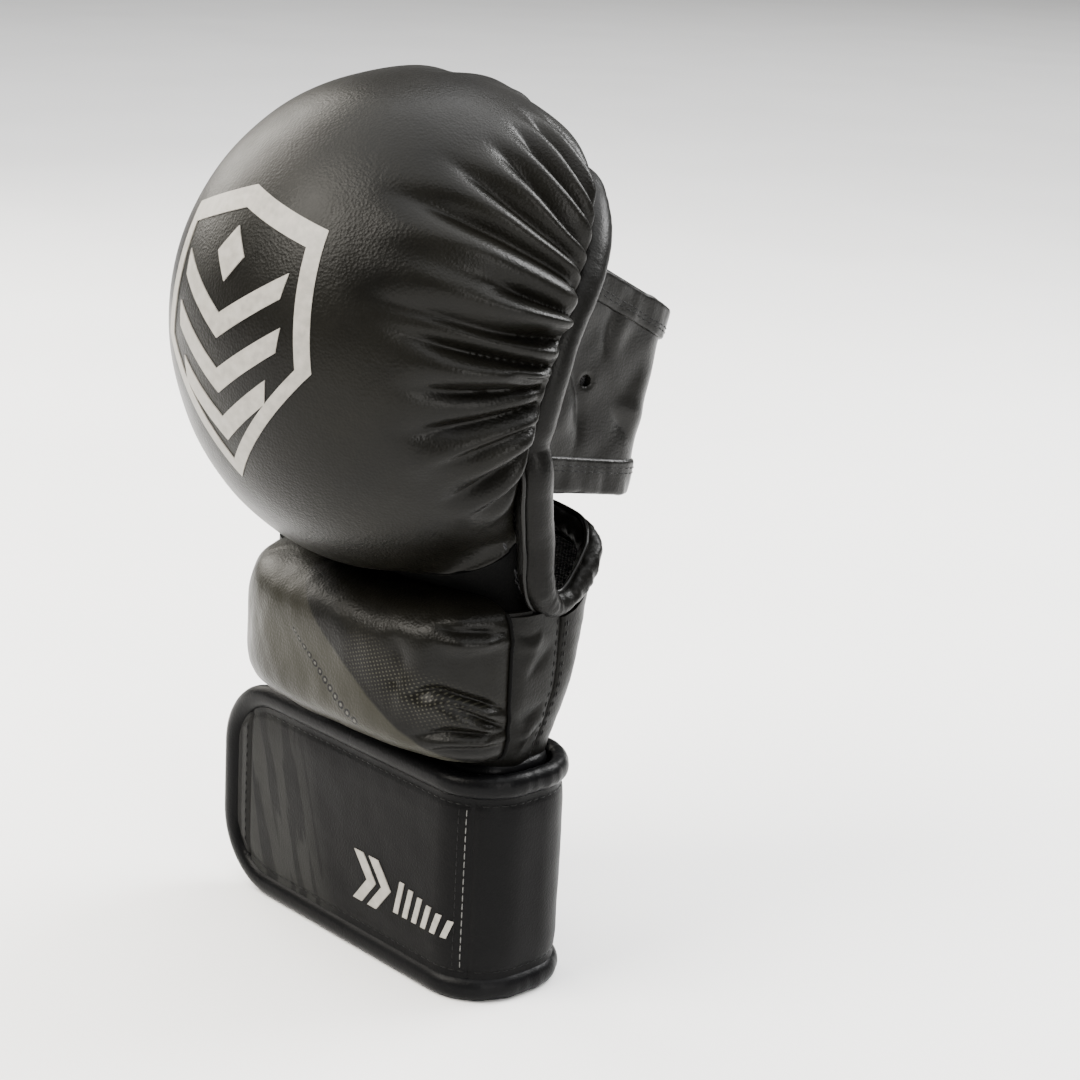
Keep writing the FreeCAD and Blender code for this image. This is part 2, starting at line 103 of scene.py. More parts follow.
BAND_HALF_WIDTH = 44.6
BAND_SECTIONS = np.array([
    (127.0, BAND_HALF_WIDTH, 30.0, 7.5, 11.0),
    (162.0, BAND_HALF_WIDTH, 32.0, 15.5, 11.0),
    (197.0, BAND_HALF_WIDTH, 35.0, 22.4, 11.0),
    (219.0, BAND_HALF_WIDTH, 35.0, 24.0, 11.0),
])
BAND_LOW, BAND_LOW_SLOPE = 144.0, -0.17
BAND_HIGH, BAND_HIGH_SLOPE = 214.0, -0.5
HEM, HEM_ROWS = 9.5, 22
VENT = np.array([19.0, 172.0])            # y and z of the vent hole on the band's side
VENT_RADIUS = 1.7

CUSHION_CENTRE = np.array([1.0, -11.0, 92.6])
CUSHION_HALF_WIDTH, CUSHION_HALF_HEIGHT, CUSHION_DEPTH = 50.5, 23.2, 28.0

CUFF_HALF_WIDTH, CUFF_HALF_DEPTH, CUFF_CORNER, CUFF_HEIGHT = 52.0, 20.5, 17.0, 67.0
CUFF_ROLL = 7.0
STRAIGHT = CUFF_HALF_WIDTH - CUFF_CORNER  # half length of the strap's flat runs
FACE_LOW, FACE_HIGH = CUFF_ROLL - 0.9, CUFF_HEIGHT - CUFF_ROLL + 0.9
FACE_THICK = 3.4
STRAP_ROLL, ROLL_SET_BACK = 3.5, 1.35     # half width of the strap's rolls, and how far in they lie
LOW_ROLL_Z, HIGH_ROLL_Z = 3.5, CUFF_HEIGHT - 3.5
SEAM_S = STRAIGHT + CUFF_CORNER * math.radians(40)                      # the flap's sewn seam
WRAP_END_S = STRAIGHT * 3 + CUFF_CORNER * math.pi * 1.5 + 13.5
SPLIT_X = -2.0           # where the strap's free end is cut into two meshes
TAB_TIP, TAB_CORNER = -63.0, 23.0
END_PANEL_X = -50.0      # where the tab's stitched end panel begins

# a stitch's length, the gap after it and the thread's radius
LONG_STITCH, STRAP_STITCH, HEM_STITCH = (1.9, 1.0, 0.24), (2.0, 0.6, 0.2), (1.9, 0.6, 0.2)
SEAM_STITCH, END_STITCH = (1.9, 0.5, 0.17), (1.8, 1.0, 0.24)
STITCH_PROFILE = ((-0.5, 0.45), (-0.38, 0.9), (0, 1.0), (0.38, 0.9), (0.5, 0.45))
STITCH_SIDES, STITCH_LIFT = 6, 0.05
STITCH_ROWS = (3, -4)    # grid rows of the strap's two lines of stitches
CAP_STEPS = (0.35, 0.7, 0.93)             # where a tube's rounded end is sampled
BAR = 6.5                # height of the emblem's chevrons

CAMERA_AIM, CAMERA_DISTANCE = np.array([0.0, 0.0, 137.0]), 661.0
AZIMUTH, ELEVATION, TILT = (math.radians(angle) for angle in (48.78, 15.08, 2.3))

scene = bpy.context.scene


# --- curves and surfaces ------------------------------------------------------------------------------
def unit(v):
    """The vectors at length 1."""
    return v / np.maximum(np.linalg.norm(v, axis=-1, keepdims=True), 1e-9)


def smooth(t):
    """An even step from 0 to 1 while t goes from 0 to 1."""
    t = np.clip(t, 0, 1)
    return t * t * (3 - 2 * t)


def bell(t):
    """A bump of height 1 about t = 0."""
    return np.exp(-np.square(t))


def spline(points, count, closed=False):
    """A smooth curve through the points, evenly spaced by its first three columns."""
    p = np.array(points, float)
    ends = (p[-1:], p[:2]) if closed else (2 * p[:1] - p[1:2], 2 * p[-1:] - p[-2:-1])
    ring = np.concatenate([ends[0], p, ends[1]])
    spans = len(ring) - 3
    t = np.linspace(0, 1, 24, endpoint=False)[:, None]
    out = []
    for i in range(spans):
        a, b, c, d = ring[i : i + 4]
        out.append(0.5 * (2 * b + (c - a) * t + (2 * a - 5 * b + 4 * c - d) * t**2
                          + (3 * b - 3 * c + d - a) * t**3))
    out.append(ring[spans + 1][None])
    return even(np.concatenate(out), count, closed)


def even(path, count, closed=False):
    """The same path as count points, evenly spaced; a closed path doesn't repeat its first point."""
    step = np.linalg.norm(np.diff(path[:, :3], axis=0), axis=1)
    length = np.concatenate([[0], np.cumsum(step)])
    wanted = np.linspace(0, length[-1], count + 1)[:-1] if closed else np.linspace(0, length[-1], count)
    return np.stack([np.interp(wanted, length, path[:, k]) for k in range(path.shape[1])], 1)


def wobble(points, size, seed, octaves=3):
    """Smooth seeded noise from -1 to 1 at points, with features about size long."""
    rng = np.random.default_rng(seed)
    total = np.zeros(points.shape[:-1])
    gain = 1.0
    for _ in range(octaves):
        for _ in range(5):
            wave = unit(rng.normal(size=3)) * 2 * math.pi / size * rng.uniform(0.7, 1.3)
            total += gain * np.sin(points @ wave + rng.uniform(0, 6.3)) / 5
        size, gain = size * 0.5, gain * 0.5
    return total


def shares(rows, cols):
    """Shares from 0 to 1 up the rows and along the columns of a grid."""
    return np.meshgrid(np.linspace(0, 1, rows), np.linspace(0, 1, cols), indexing="ij")


def unrolled(arc, turn):
    """A tube's surface laid flat: the way along it and the way round it."""
    along, across = np.broadcast_arrays(arc[:, None], turn)
    return np.stack([along, across, 0 * along], -1)


def on_axis(point):
    """The point moved to x = 0."""
    moved = point.copy()
    moved[:, 0] = 0
    return moved


def mirror_line(half):
    """A whole line from its half on the little-finger side, which starts on x = 0."""
    half = np.array(half, float)
    return np.concatenate([half[:0:-1] * np.array([-1, 1, 1]), half])


def closed_loop(half):
    """Joins a half line that starts and ends on x = 0 to its mirror image, with no repeated points."""
    other = half[1:-1][::-1].copy()
    other[:, 0] *= -1
    return np.concatenate([half, other])


def round_edge(distance, radius):
    """How far a surface drops at a distance from its rounded edge."""
    k = np.clip(1 - distance / radius, 0, 1)
    return radius * (1 - np.sqrt(1 - k * k))


def grid_normals(p, closed=False):
    """Unit normals of a grid of points, rows along axis 0 and columns along axis 1."""
    along = np.gradient(p, axis=0)
    if closed:
        across = (np.roll(p, -1, 1) - np.roll(p, 1, 1)) / 2
    else:
        across = np.gradient(p, axis=1)
    return unit(np.cross(across, along))


def fold(points, normals, path, width, depth, ridge, side=1.0, taper_end=False):
    """Height change of one crease: a cusped valley along path and a puffed ridge on one side of it.

    The crease fades in from the first point of its path and is deepest and narrowest at the last."""
    line = spline(path, 26)
    low, high = line.min(0) - 4.5 * width, line.max(0) + 4.5 * width
    near = np.all((points > low) & (points < high), axis=-1)
    q, n = points[near], normals[near]
    k = ((q[:, None, :] - line[None]) ** 2).sum(-1).argmin(1)
    step = np.linalg.norm(line[1] - line[0])
    along = unit(np.gradient(line, axis=0))[k]
    slide = np.clip(((q - line[k]) * along).sum(-1), -0.5 * step, 0.5 * step)
    offset = q - line[k] - along * slide[:, None]
    offset = offset - (offset * n).sum(-1)[:, None] * n
    across = unit(np.cross(along, n))
    signed = (offset * across).sum(-1) * side
    far = np.linalg.norm(offset, axis=1)
    share = np.clip((k + slide / step) / (len(line) - 1), 0, 1)
    w = width * (1.45 - 0.75 * share)
    fade = smooth(share / 0.5)
    if taper_end:
        fade = fade * smooth((1 - share) / 0.45)
    valley = -depth / (1 + (far / (0.42 * w)) ** 2)
    puff = ridge * bell((signed - 1.25 * w) / (0.8 * w)) * bell(np.maximum(far - np.abs(signed), 0) / w)
    out = np.zeros(points.shape[:-1])
    out[near] = fade * (valley + puff)
    return out


def creased(points, normals, creases, taper_end=False):
    """Height change of several creases: path, width, depth, ridge and side of the ridge of each."""
    return sum(fold(points, normals, *crease, taper_end) for crease in creases)


def frames(path, out, closed=False):
    """Directions along a path, out of the surface it lies on, and across both."""
    if closed:
        along = unit(np.roll(path, -1, 0) - np.roll(path, 1, 0))
    else:
        along = unit(np.gradient(path, axis=0))
    up = unit(out - (out * along).sum(1, keepdims=True) * along)
    return along, up, np.cross(along, up)


# --- meshes -------------------------------------------------------------------------------------------
def make(name, shape, material, body=None, nodes=()):
    """A smooth mesh of points in millimetres and faces, with its finish, body and the nodes it stands for."""
    points, faces = shape
    mesh = bpy.data.meshes.new(name)
    mesh.from_pydata((np.asarray(points).reshape(-1, 3) * MM).tolist(), [], faces)
    mesh.validate()
    mesh.shade_smooth()
    mesh.set_sharp_from_angle(angle=SHARP)
    obj = bpy.data.objects.new(name, mesh)
    scene.collection.objects.link(obj)
    obj.data.materials.append(MAT[material])
    if nodes:
        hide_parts(*nodes)
    if body:
        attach(obj, body)
    return obj


def quads(rows, cols, closed=False):
    """The faces of a grid whose points are counted row by row."""
    r = np.arange(rows - 1)[:, None]
    c = np.arange(cols if closed else cols - 1)[None]
    d = (c + 1) % cols
    return np.stack([r * cols + c, r * cols + d, (r + 1) * cols + d, (r + 1) * cols + c], -1).reshape(-1, 4)


def slab(p, thickness, closed=False, normals=None, keep=None):
    """Points and faces of a leather layer: the grid is its outer face, and it is thickness deep."""
    rows, cols = p.shape[:2]
    n = grid_normals(p, closed) if normals is None else normals
    inner = p - n * thickness
    q = quads(rows, cols, closed)
    if keep is not None:
        q = q[keep[q].all(1)]
    count = rows * cols
    edges = np.concatenate([q[:, [0, 1]], q[:, [1, 2]], q[:, [2, 3]], q[:, [3, 0]]])
    key = edges[:, 0].astype(np.int64) * count + edges[:, 1]
    back = edges[:, 1].astype(np.int64) * count + edges[:, 0]
    rim = edges[~np.isin(key, back)]
    walls = np.stack([rim[:, 1], rim[:, 0], rim[:, 0] + count, rim[:, 1] + count], 1)
    faces = np.concatenate([q, q[:, ::-1] + count, walls])
    points = np.concatenate([p.reshape(-1, 3), inner.reshape(-1, 3)])
    used = np.zeros(len(points), bool)
    used[faces.ravel()] = True
    index = np.cumsum(used) - 1
    return points[used], index[faces].tolist()


def tube(path, radius, out, sides=20, flat=1.0, closed=False, crinkle=None):
    """Points and faces of a rolled edge. radius is its half width and flat its thickness as a share."""
    n = len(path)
    radius = np.broadcast_to(np.asarray(radius, float), (n,))
    along, up, side = frames(path, out, closed)
    a = np.linspace(0, 2 * math.pi, sides, endpoint=False)
    ring = np.cos(a)[None, :, None] * up[:, None] * flat + np.sin(a)[None, :, None] * side[:, None]
    p = path[:, None] + ring * radius[:, None, None]
    if crinkle is not None:
        p = p + unit(ring) * crinkle(p, np.cos(a)[None, :])[..., None]
    if closed:
        faces = quads(n + 1, sides, True) % (n * sides)
        return p.reshape(-1, 3), faces.tolist()
    caps = []
    for end, sign in ((0, -1), (-1, 1)):
        for t in CAP_STEPS:
            centre = path[end] + sign * along[end] * radius[end] * flat * t
            caps.append(centre + (p[end] - path[end]) * math.sqrt(1 - t * t))
    p = np.concatenate([np.stack(caps[2::-1]), p, np.stack(caps[3:])])
    total = len(p) * sides
    faces = quads(len(p), sides, True).tolist()
    faces += [list(range(sides))[::-1], list(range(total - sides, total))]
    return p.reshape(-1, 3), faces


def stitches(name, path, out, body, style, material="thread"):
    """Sewing stitches as small capsules, laid along a path and standing half out of the leather.

    A style is a stitch's length, the gap after it and the thread's radius."""
    length, gap, radius = style
    total = np.linalg.norm(np.diff(path, axis=0), axis=1).sum()
    count = max(int(total / (length + gap)), 1)
    out = np.broadcast_to(np.asarray(out, float), path.shape)
    centres = even(np.concatenate([path, out], 1), count * 2 + 1)[1::2]
    points, faces = [], []
    places = centres[:, :3]
    along = unit(np.gradient(places, axis=0)) if count > 1 else unit(path[-1:] - path[:1])
    for p, t, o in zip(places, along, centres[:, 3:]):
        o = o - (o @ t) * t
        o = o / np.linalg.norm(o)
        s = np.cross(t, o)
        base = len(points)
        for share, size in STITCH_PROFILE:
            dip = STITCH_LIFT - 1.4 * abs(share) * radius
            for k in range(STITCH_SIDES):
                a = 2 * math.pi * k / STITCH_SIDES
                points.append(p + t * share * length + o * (dip + math.cos(a) * radius * size)
                              + s * math.sin(a) * radius * size)
        faces += (quads(len(STITCH_PROFILE), STITCH_SIDES, True) + base).tolist()
        faces.append([base + k for k in range(STITCH_SIDES)][::-1])
        faces.append([len(points) - STITCH_SIDES + k for k in range(STITCH_SIDES)])
    return make(name, (np.array(points), faces), material, body)


# --- materials ----------------------------------------------------------------------------------------
def nodes_of(name):
    """A new material, its node tree, its shader and the object's coordinates in it."""
    material = bpy.data.materials.new(name)
    material.use_nodes = True
    tree = material.node_tree
    coord = tree.nodes.new("ShaderNodeTexCoord")
    return material, tree, tree.nodes["Principled BSDF"], coord.outputs["Object"]


def link(tree, value, target):
    """Gives an input a number, a colour or another node's output."""
    if isinstance(value, (int, float)):
        target.default_value = value
    elif isinstance(value, tuple):
        target.default_value = (*value, 1) if target.type == "RGBA" else value
    else:
        tree.links.new(value, target)


def math_node(tree, operation, *values):
    made = tree.nodes.new("ShaderNodeMath")
    made.operation = operation
    for slot, value in enumerate(values):
        link(tree, value, made.inputs[slot])
    return made.outputs[0]


def plus(tree, a, b):
    return math_node(tree, "ADD", a, b)


def minus(tree, a, b):
    return math_node(tree, "SUBTRACT", a, b)


def times(tree, *values):
    total = values[0]
    for value in values[1:]:
        total = math_node(tree, "MULTIPLY", total, value)
    return total


def noise(tree, coord, scale, detail=3.0):
    made = tree.nodes.new("ShaderNodeTexNoise")
    for slot, value in (("Scale", scale), ("Detail", detail), ("Vector", coord)):
        link(tree, value, made.inputs[slot])
    return made.outputs["Fac"]


def cells(tree, coord, scale, randomness):
    made = tree.nodes.new("ShaderNodeTexVoronoi")
    for slot, value in (("Scale", scale), ("Randomness", randomness), ("Vector", coord)):
        link(tree, value, made.inputs[slot])
    return made.outputs["Distance"]


def ramp(tree, value, low, high, out_low=0, out_high=1):
    made = tree.nodes.new("ShaderNodeMapRange")
    for slot, number in enumerate((value, low, high, out_low, out_high)):
        link(tree, number, made.inputs[slot])
    return made.outputs[0]


def mix(tree, share, a, b):
    made = tree.nodes.new("ShaderNodeMix")
    made.data_type = "RGBA"
    for slot, value in ((0, share), (6, a), (7, b)):
        link(tree, value, made.inputs[slot])
    return made.outputs[2]


def finish(tree, shader, colour, rough, height, distance, strength=1.0, gloss=0.5):
    """Joins a colour, a roughness and a relief to the shader."""
    relief = tree.nodes.new("ShaderNodeBump")
    for slot, value in (("Distance", distance), ("Strength", strength), ("Height", height)):
        link(tree, value, relief.inputs[slot])
    for slot, value in (("Base Color", colour), ("Roughness", rough), ("Specular IOR Level", gloss),
                        ("Normal", relief.outputs[0])):
        link(tree, value, shader.inputs[slot])


def leather(name, dark, light, rough, grain, height, gloss=GLOSS):
    """Fine-grained coated leather with soft changes of colour and gloss."""
    material, tree, shader, coord = nodes_of(name)
    pebble = times(tree, cells(tree, coord, 1000 / grain, 0.9), 1.3)
    soft = noise(tree, coord, 160)
    relief = plus(tree, plus(tree, pebble, times(tree, noise(tree, coord, 900, 2.0), 0.9)),
                  times(tree, soft, 1.6))
    cloud = noise(tree, coord, 28, 4.0)
    colour = mix(tree, ramp(tree, cloud, 0.3, 0.7), dark, light)
    shine = plus(tree, times(tree, cloud, 0.6), times(tree, soft, 0.4))
    finish(tree, shader, colour, ramp(tree, shine, 0.3, 0.7, *rough), relief, height * MM, 0.9, gloss)
    return material


def flat_finish(name, dark, light, rough, scale, height, gloss=0.5):
    """A matt surface with fine noise, for thread, print, raw edges and the floor."""
    material, tree, shader, coord = nodes_of(name)
    grain = noise(tree, coord, scale, 4.0)
    colour = mix(tree, ramp(tree, grain, 0.3, 0.7), dark, light)
    rough = ramp(tree, grain, 0.2, 0.8, rough - 0.08, rough + 0.08)
    finish(tree, shader, colour, rough, grain, height * MM, 1.0, gloss)
    return material


def ribbed(name, pitch, dark, light):
    """Knitted spacer mesh: rows of small coils."""
    material, tree, shader, coord = nodes_of(name)
    split = tree.nodes.new("ShaderNodeSeparateXYZ")
    link(tree, coord, split.inputs[0])
    turns = 2 * math.pi / (pitch * MM)
    diagonal = plus(tree, split.outputs["Z"], times(tree, split.outputs["Y"], 0.8))
    rows = math_node(tree, "SINE", times(tree, diagonal, turns))
    across = math_node(tree, "SINE", times(tree, split.outputs["X"], turns * 0.8))
    relief = plus(tree, rows, times(tree, across, 0.6))
    finish(tree, shader, mix(tree, ramp(tree, relief, -1.2, 1.4), dark, light), 0.8, relief, 0.22 * MM)
    return material


def hooked(name, dark, light):
    """Hook-and-loop tape: short dark fuzz."""
    material, tree, shader, coord = nodes_of(name)
    dots = cells(tree, coord, 1100, 1.0)
    finish(tree, shader, mix(tree, dots, dark, light), 0.9, dots, 0.35 * MM)
    return material


def grey(value):
    return (value, value, value)


DARK, WARM = (0.0016, 0.0015, 0.0012), (0.0044, 0.0041, 0.003)
SLATE = (0.0014, 0.0014, 0.0015), (0.0026, 0.0026, 0.0028)
EDGE = (0.0012, 0.0012, 0.0014), (0.0022, 0.0023, 0.0026)
RAW = (0.012, 0.014, 0.018), (0.032, 0.037, 0.046)
MAT = {
    # dark and light colour, low and high roughness, grain in mm, relief in mm, specular level
    "pad": leather("pad leather", DARK, WARM, (0.3, 0.42), 0.8, 0.055, 0.1),
    "roll": leather("rolled leather", DARK, (0.0042, 0.0041, 0.0037), (0.34, 0.46), 0.7, 0.05),
    "panel": leather("panel leather", DARK, (0.0032, 0.0031, 0.0025), (0.38, 0.5), 0.8, 0.05),
    "strap": leather("strap leather", *SLATE, (0.4, 0.5), 0.6, 0.04, 0.055),
    "edge": leather("edge leather", *EDGE, (0.32, 0.42), 0.6, 0.04, 0.065),
    "welt": leather("welt leather", DARK, (0.005, 0.005, 0.0047), (0.26, 0.36), 0.5, 0.03, 0.15),
    # near-black leather, darker than the real leather: painted shade for the neck deep in the gap under the
    # dome, also used for the cushion's seam cord
    "shade_black": leather("painted shade leather", grey(0.001), grey(0.0015), (0.7, 0.8), 0.7, 0.04, 0.05),
    "band": leather("band leather", DARK, (0.005, 0.0048, 0.004), (0.3, 0.4), 0.7, 0.045, 0.14),
    # dark and light colour, roughness, scale of the noise, relief in mm, specular level
    "raw": flat_finish("raw leather edge", *RAW, 0.85, 900, 0.12, 0.2),
    "thread": flat_finish("thread", grey(0.0015), grey(0.004), 0.5, 1500, 0.08, 0.12),
    "pale thread": flat_finish("pale thread", (0.05, 0.05, 0.048), (0.13, 0.13, 0.125), 0.5, 1500, 0.08, 0.2),
    "silver": flat_finish("silver print", (0.19, 0.18, 0.16), (0.27, 0.256, 0.23), 0.45, 400, 0.03, 0.3),
    # pitch of the coils in mm, dark and light colour
    "mesh": ribbed("spacer mesh", 1.3, (0.002, 0.002, 0.0026), (0.012, 0.012, 0.014)),
    "lining": ribbed("lining", 1.0, (0.003, 0.003, 0.0034), (0.009, 0.009, 0.0095)),
    "hook": hooked("hook and loop", grey(0.003), grey(0.014)),
}


def side_view(tree, coord):
    """x and z in millimetres."""
    split = tree.nodes.new("ShaderNodeSeparateXYZ")
    link(tree, coord, split.inputs[0])
    return [times(tree, split.outputs[k], 1000.0) for k in (0, 2)]


def along_line(tree, x, z, start, turn):
    """Distances along and across a line on the back of the hand, in millimetres. turn is in degrees."""
    dx, dz = minus(tree, x, start[0]), minus(tree, z, start[1])
    c, s = math.cos(math.radians(turn)), math.sin(math.radians(turn))
    along = plus(tree, times(tree, dx, c), times(tree, dz, s))
    return along, minus(tree, times(tree, dz, c), times(tree, dx, s))


def printed(name, base, pattern):
    """A leather with a tonal print: pattern gives shares and colours, laid one over the other."""
    material = MAT[base].copy()
    material.name = name
    tree = material.node_tree
    shader = tree.nodes["Principled BSDF"]
    coord = next(n for n in tree.nodes if n.type == "TEX_COORD").outputs["Object"]
    under = shader.inputs["Base Color"].links[0].from_socket
    for share, colour in pattern(tree, coord):
        under = mix(tree, share, under, colour)
    link(tree, under, shader.inputs["Base Color"])
    return material


def cushion_pattern(tree, coord):
    """Diagonal tonal bands, a lighter field at the lower left that is partly the print's tone and partly a
    painted highlight, a chain of ovals that grow downwards, and a field of fine dots.
    """
    x, z = side_view(tree, coord)
    _, v = along_line(tree, x, z, (-3, 108), -30)
    # field: a lighter olive area over the lower left, partly the print's own tone and partly a painted
    # highlight
    field = times(tree, ramp(tree, v, 1.0, -1.0, 0, 0.85), ramp(tree, v, -42, -20, 0.25),
                  ramp(tree, z, 112, 96, 0.3))
    _, v = along_line(tree, x, z, (-3, 108), -36)
    band = times(tree, ramp(tree, v, -1.2, -0.4), ramp(tree, v, 7.5, 6.5))
    s, t = along_line(tree, x, z, (-8, 99), -36.5)
    cell = minus(tree, math_node(tree, "FRACT", math_node(tree, "DIVIDE", s, 2.9)), 0.5)
    a = math_node(tree, "DIVIDE", cell, 0.42)
    b = math_node(tree, "DIVIDE", t, ramp(tree, s, 0, 34, 0.5, 1.5))
    r = plus(tree, times(tree, a, a), times(tree, b, b))
    inside = times(tree, ramp(tree, r, 1.05, 0.9), ramp(tree, s, -0.2, 0.2), ramp(tree, s, 35, 34.6))
    core = times(tree, ramp(tree, r, 0.24, 0.12), inside)
    p, q = along_line(tree, x, z, (14, 104), -25)
    dots = times(tree, *(math_node(tree, "SINE", times(tree, value, 4.2)) for value in (p, q)))
    patch = times(tree, ramp(tree, q, -11, -4), ramp(tree, q, 6, 0), ramp(tree, p, 0, 8),
                  ramp(tree, p, 42, 30))
    specks = times(tree, ramp(tree, dots, 0.45, 0.65, 0, 0.75), patch)
    # the first colour is that lighter field, partly print and partly painted highlight
    return [(field, (0.021, 0.0202, 0.0152)), (band, (0.0035, 0.0034, 0.003)), (inside, grey(0.0015)),
            (core, (0.05, 0.048, 0.041)), (specks, (0.035, 0.034, 0.025))]


def strap_pattern(tree, coord):
    """Brush strokes across the strap's tab and a plain field at its end."""
    x, z = side_view(tree, coord)
    lean = plus(tree, x, times(tree, minus(tree, z, 33.0), 0.3))
    slanted = tree.nodes.new("ShaderNodeCombineXYZ")
    for slot, value, stretch in ((0, lean, 4.2), (2, z, 0.38)):
        link(tree, times(tree, value, MM, stretch), slanted.inputs[slot])
    strokes = noise(tree, slanted.outputs[0], 42, 5.0)
    zone = times(tree, ramp(tree, x, -50.4, -49.8), ramp(tree, lean, -14, -26))
    streak = times(tree, ramp(tree, strokes, 0.46, 0.49), zone, ramp(tree, z, 62, 44, 0.35), 0.9)
    end = times(tree, ramp(tree, x, -49.8, -50.4), 0.7)
    return [(streak, (0.013, 0.0132, 0.0124)), (times(tree, zone, 0.2), (0.008, 0.008, 0.0076)),
            (end, (0.013, 0.013, 0.0125))]


MAT["cushion"] = printed("cushion print", "pad", cushion_pattern)
MAT["print"] = printed("strap print", "strap", strap_pattern)


# --- dome ---------------------------------------------------------------------------------------------
def dome_half_width(y, z, inset):
    """Half width at y and z of the dome's form made smaller by inset."""
    dy = (y - DOME_CENTRE[1]) / (DOME_RADII[1] - inset)
    dz = (z - DOME_CENTRE[2]) / (DOME_RADII[2] - inset)
    return (DOME_RADII[0] - inset) * np.sqrt(np.maximum(1 - dy**2 - dz**2, 0))


def rim_side(inset, lift=False):
    """Half of a line along the dome's rim, from its foot to the middle of its top: x, y, z, radius.

    Without lift it is the seam. With lift it is a line that stands off the seam, towards the palm."""
    y, z = spline([(0, y, z) for y, z in RIM], 240)[:, 1:].T
    high = smooth((z - RIM_SHOULDER) / 28)
    radius = ROLL_LOW + (ROLL_HIGH - ROLL_LOW) * smooth((z - 140) / 60)
    x = dome_half_width(y, z, inset - 2.8 * high if lift else inset)
    foot = FOOT_X + (ROLL_STAND if lift else 0)
    x = np.where(z < 160, np.maximum(x, foot + 0.2 * (z - RIM[0][1])), x)
    if lift:
        along = unit(np.gradient(np.stack([y, z], 1), axis=0))
        off = radius * (0.92 + 0.14 * high)
        y, z = y + along[:, 1] * off, z - along[:, 0] * off
    return np.stack([x, y, z, radius], 1)[x > 0.5]


def dome_seam(count):
    """The whole seam of the dome's cover, as one closed line."""
    side = rim_side(SEAM_INSET)[:, :3]
    half = np.concatenate([np.array(UNDER_SEAM, float), side[::12], on_axis(side[-1:])])
    return spline(closed_loop(half), count, closed=True)


# creases that run into the seam on the little-finger side: path, width, depth, ridge, side of the ridge
CREASES = [
    ([(30, -49, 228), (46, -35, 222), (57, -20, 213), (61, -2.5, 201)], 5.4, 3.4, 2.0, 1),
    ([(34, -33, 237), (47, -24, 229), (57, -13, 218), (60, 0.5, 205)], 4.4, 3.0, 1.6, 1),
    ([(38, -19, 241), (50, -11, 231), (58, -4, 219), (59, 4, 209.5)], 3.8, 2.8, 1.5, 1),
    ([(34, -7, 245), (46, -3, 236), (55, 3, 224), (57, 8, 214)], 3.4, 2.6, 1.3, 1),
    ([(28, 3, 246), (40, 6, 238), (51, 9, 226), (55, 12, 218)], 3.2, 2.4, 1.2, 1),
    ([(24, 13, 244), (36, 14, 238), (46, 16, 229), (51, 17, 222.5)], 3.0, 2.2, 1.1, 1),
    ([(34, -59, 202), (52, -45, 198), (62, -29, 193), (64, -9.5, 190)], 5.0, 3.4, 2.2, -1),
    ([(40, -57, 196), (55, -43, 190), (64, -28, 186), (65, -12.0, 183)], 4.0, 3.2, 1.8, -1),
    ([(58, -36, 208), (61, -25, 203), (63, -14, 198), (63, -6.5, 195)], 3.0, 2.2, 1.2, 1),
    ([(44, -53, 180), (57, -40, 178), (65, -26, 178), (66, -13.5, 178)], 4.2, 3.4, 2.0, -1),
    ([(44, -53, 167), (57, -40, 168), (64, -26, 171), (66, -14.3, 173)], 4.6, 3.4, 2.0, 1),
    ([(49, -45, 157), (58, -34, 162), (64, -24, 166), (65, -14.5, 168)], 3.8, 2.8, 1.5, 1),
    ([(47, -38, 146), (56, -30, 151), (62, -22, 158), (64, -14.4, 162)], 4.0, 2.6, 1.4, 1),
    ([(50, -30, 141), (56, -23, 146), (60, -14, 154)], 3.4, 1.6, 0.8, 1),
    ([(60, -30, 184), (64, -22, 181), (66, -13, 180.5)], 2.4, 1.6, 0.8, 1),
]
THUMB_SIDE_CREASES = 24


def on_dome(points):
    """The points moved along rays from the dome's centre onto its outer form."""
    q = (points - DOME_CENTRE) / DOME_RADII
    return DOME_CENTRE + unit(q) * DOME_RADII


def dome_creases(seam):
    """The creases of both sides. Those on the thumb side and over the top are shorter and run parallel."""
    found = [(on_dome(np.array(path, float)), w, d, r, s) for path, w, d, r, s in CREASES]
    rng = np.random.default_rng(5)
    whole = spline(seam, 400, closed=True)
    ahead = whole[(whole[:, 2] > 134) & (whole[:, 0] < 8)]
    for i in range(THUMB_SIDE_CREASES):
        at = ahead[int((i + rng.uniform(0.2, 0.8)) / THUMB_SIDE_CREASES * len(ahead))]
        reach = rng.uniform(0.2, 0.42)
        pole = DOME_CENTRE + np.array([0, -65, 10 * rng.normal()])
        tip = at + (pole - at) * reach
        mid = at + (pole - at) * reach * 0.5 + np.array([0, 0, rng.normal() * 2])
        path = on_dome(np.stack([tip, mid, at]))
        found.append((path, rng.uniform(2.6, 4.4), rng.uniform(1.4, 2.8), rng.uniform(0.7, 1.5), 1))
    return found


def cover_swell(points):
    """Slow unevenness of the dome's cover."""
    return 0.25 * wobble(points, 34, 3, 2)


def dome_point_shift(points, normals, seam):
    """How far the cover's points stand off the dome's form: a slow swell and the creases."""
    shift = cover_swell(points)
    for path, width, depth, ridge, side in dome_creases(seam):
        shift += fold(points, normals, path, width, CREASE_DEPTH * depth, CREASE_RIDGE * ridge, side)
    return shift


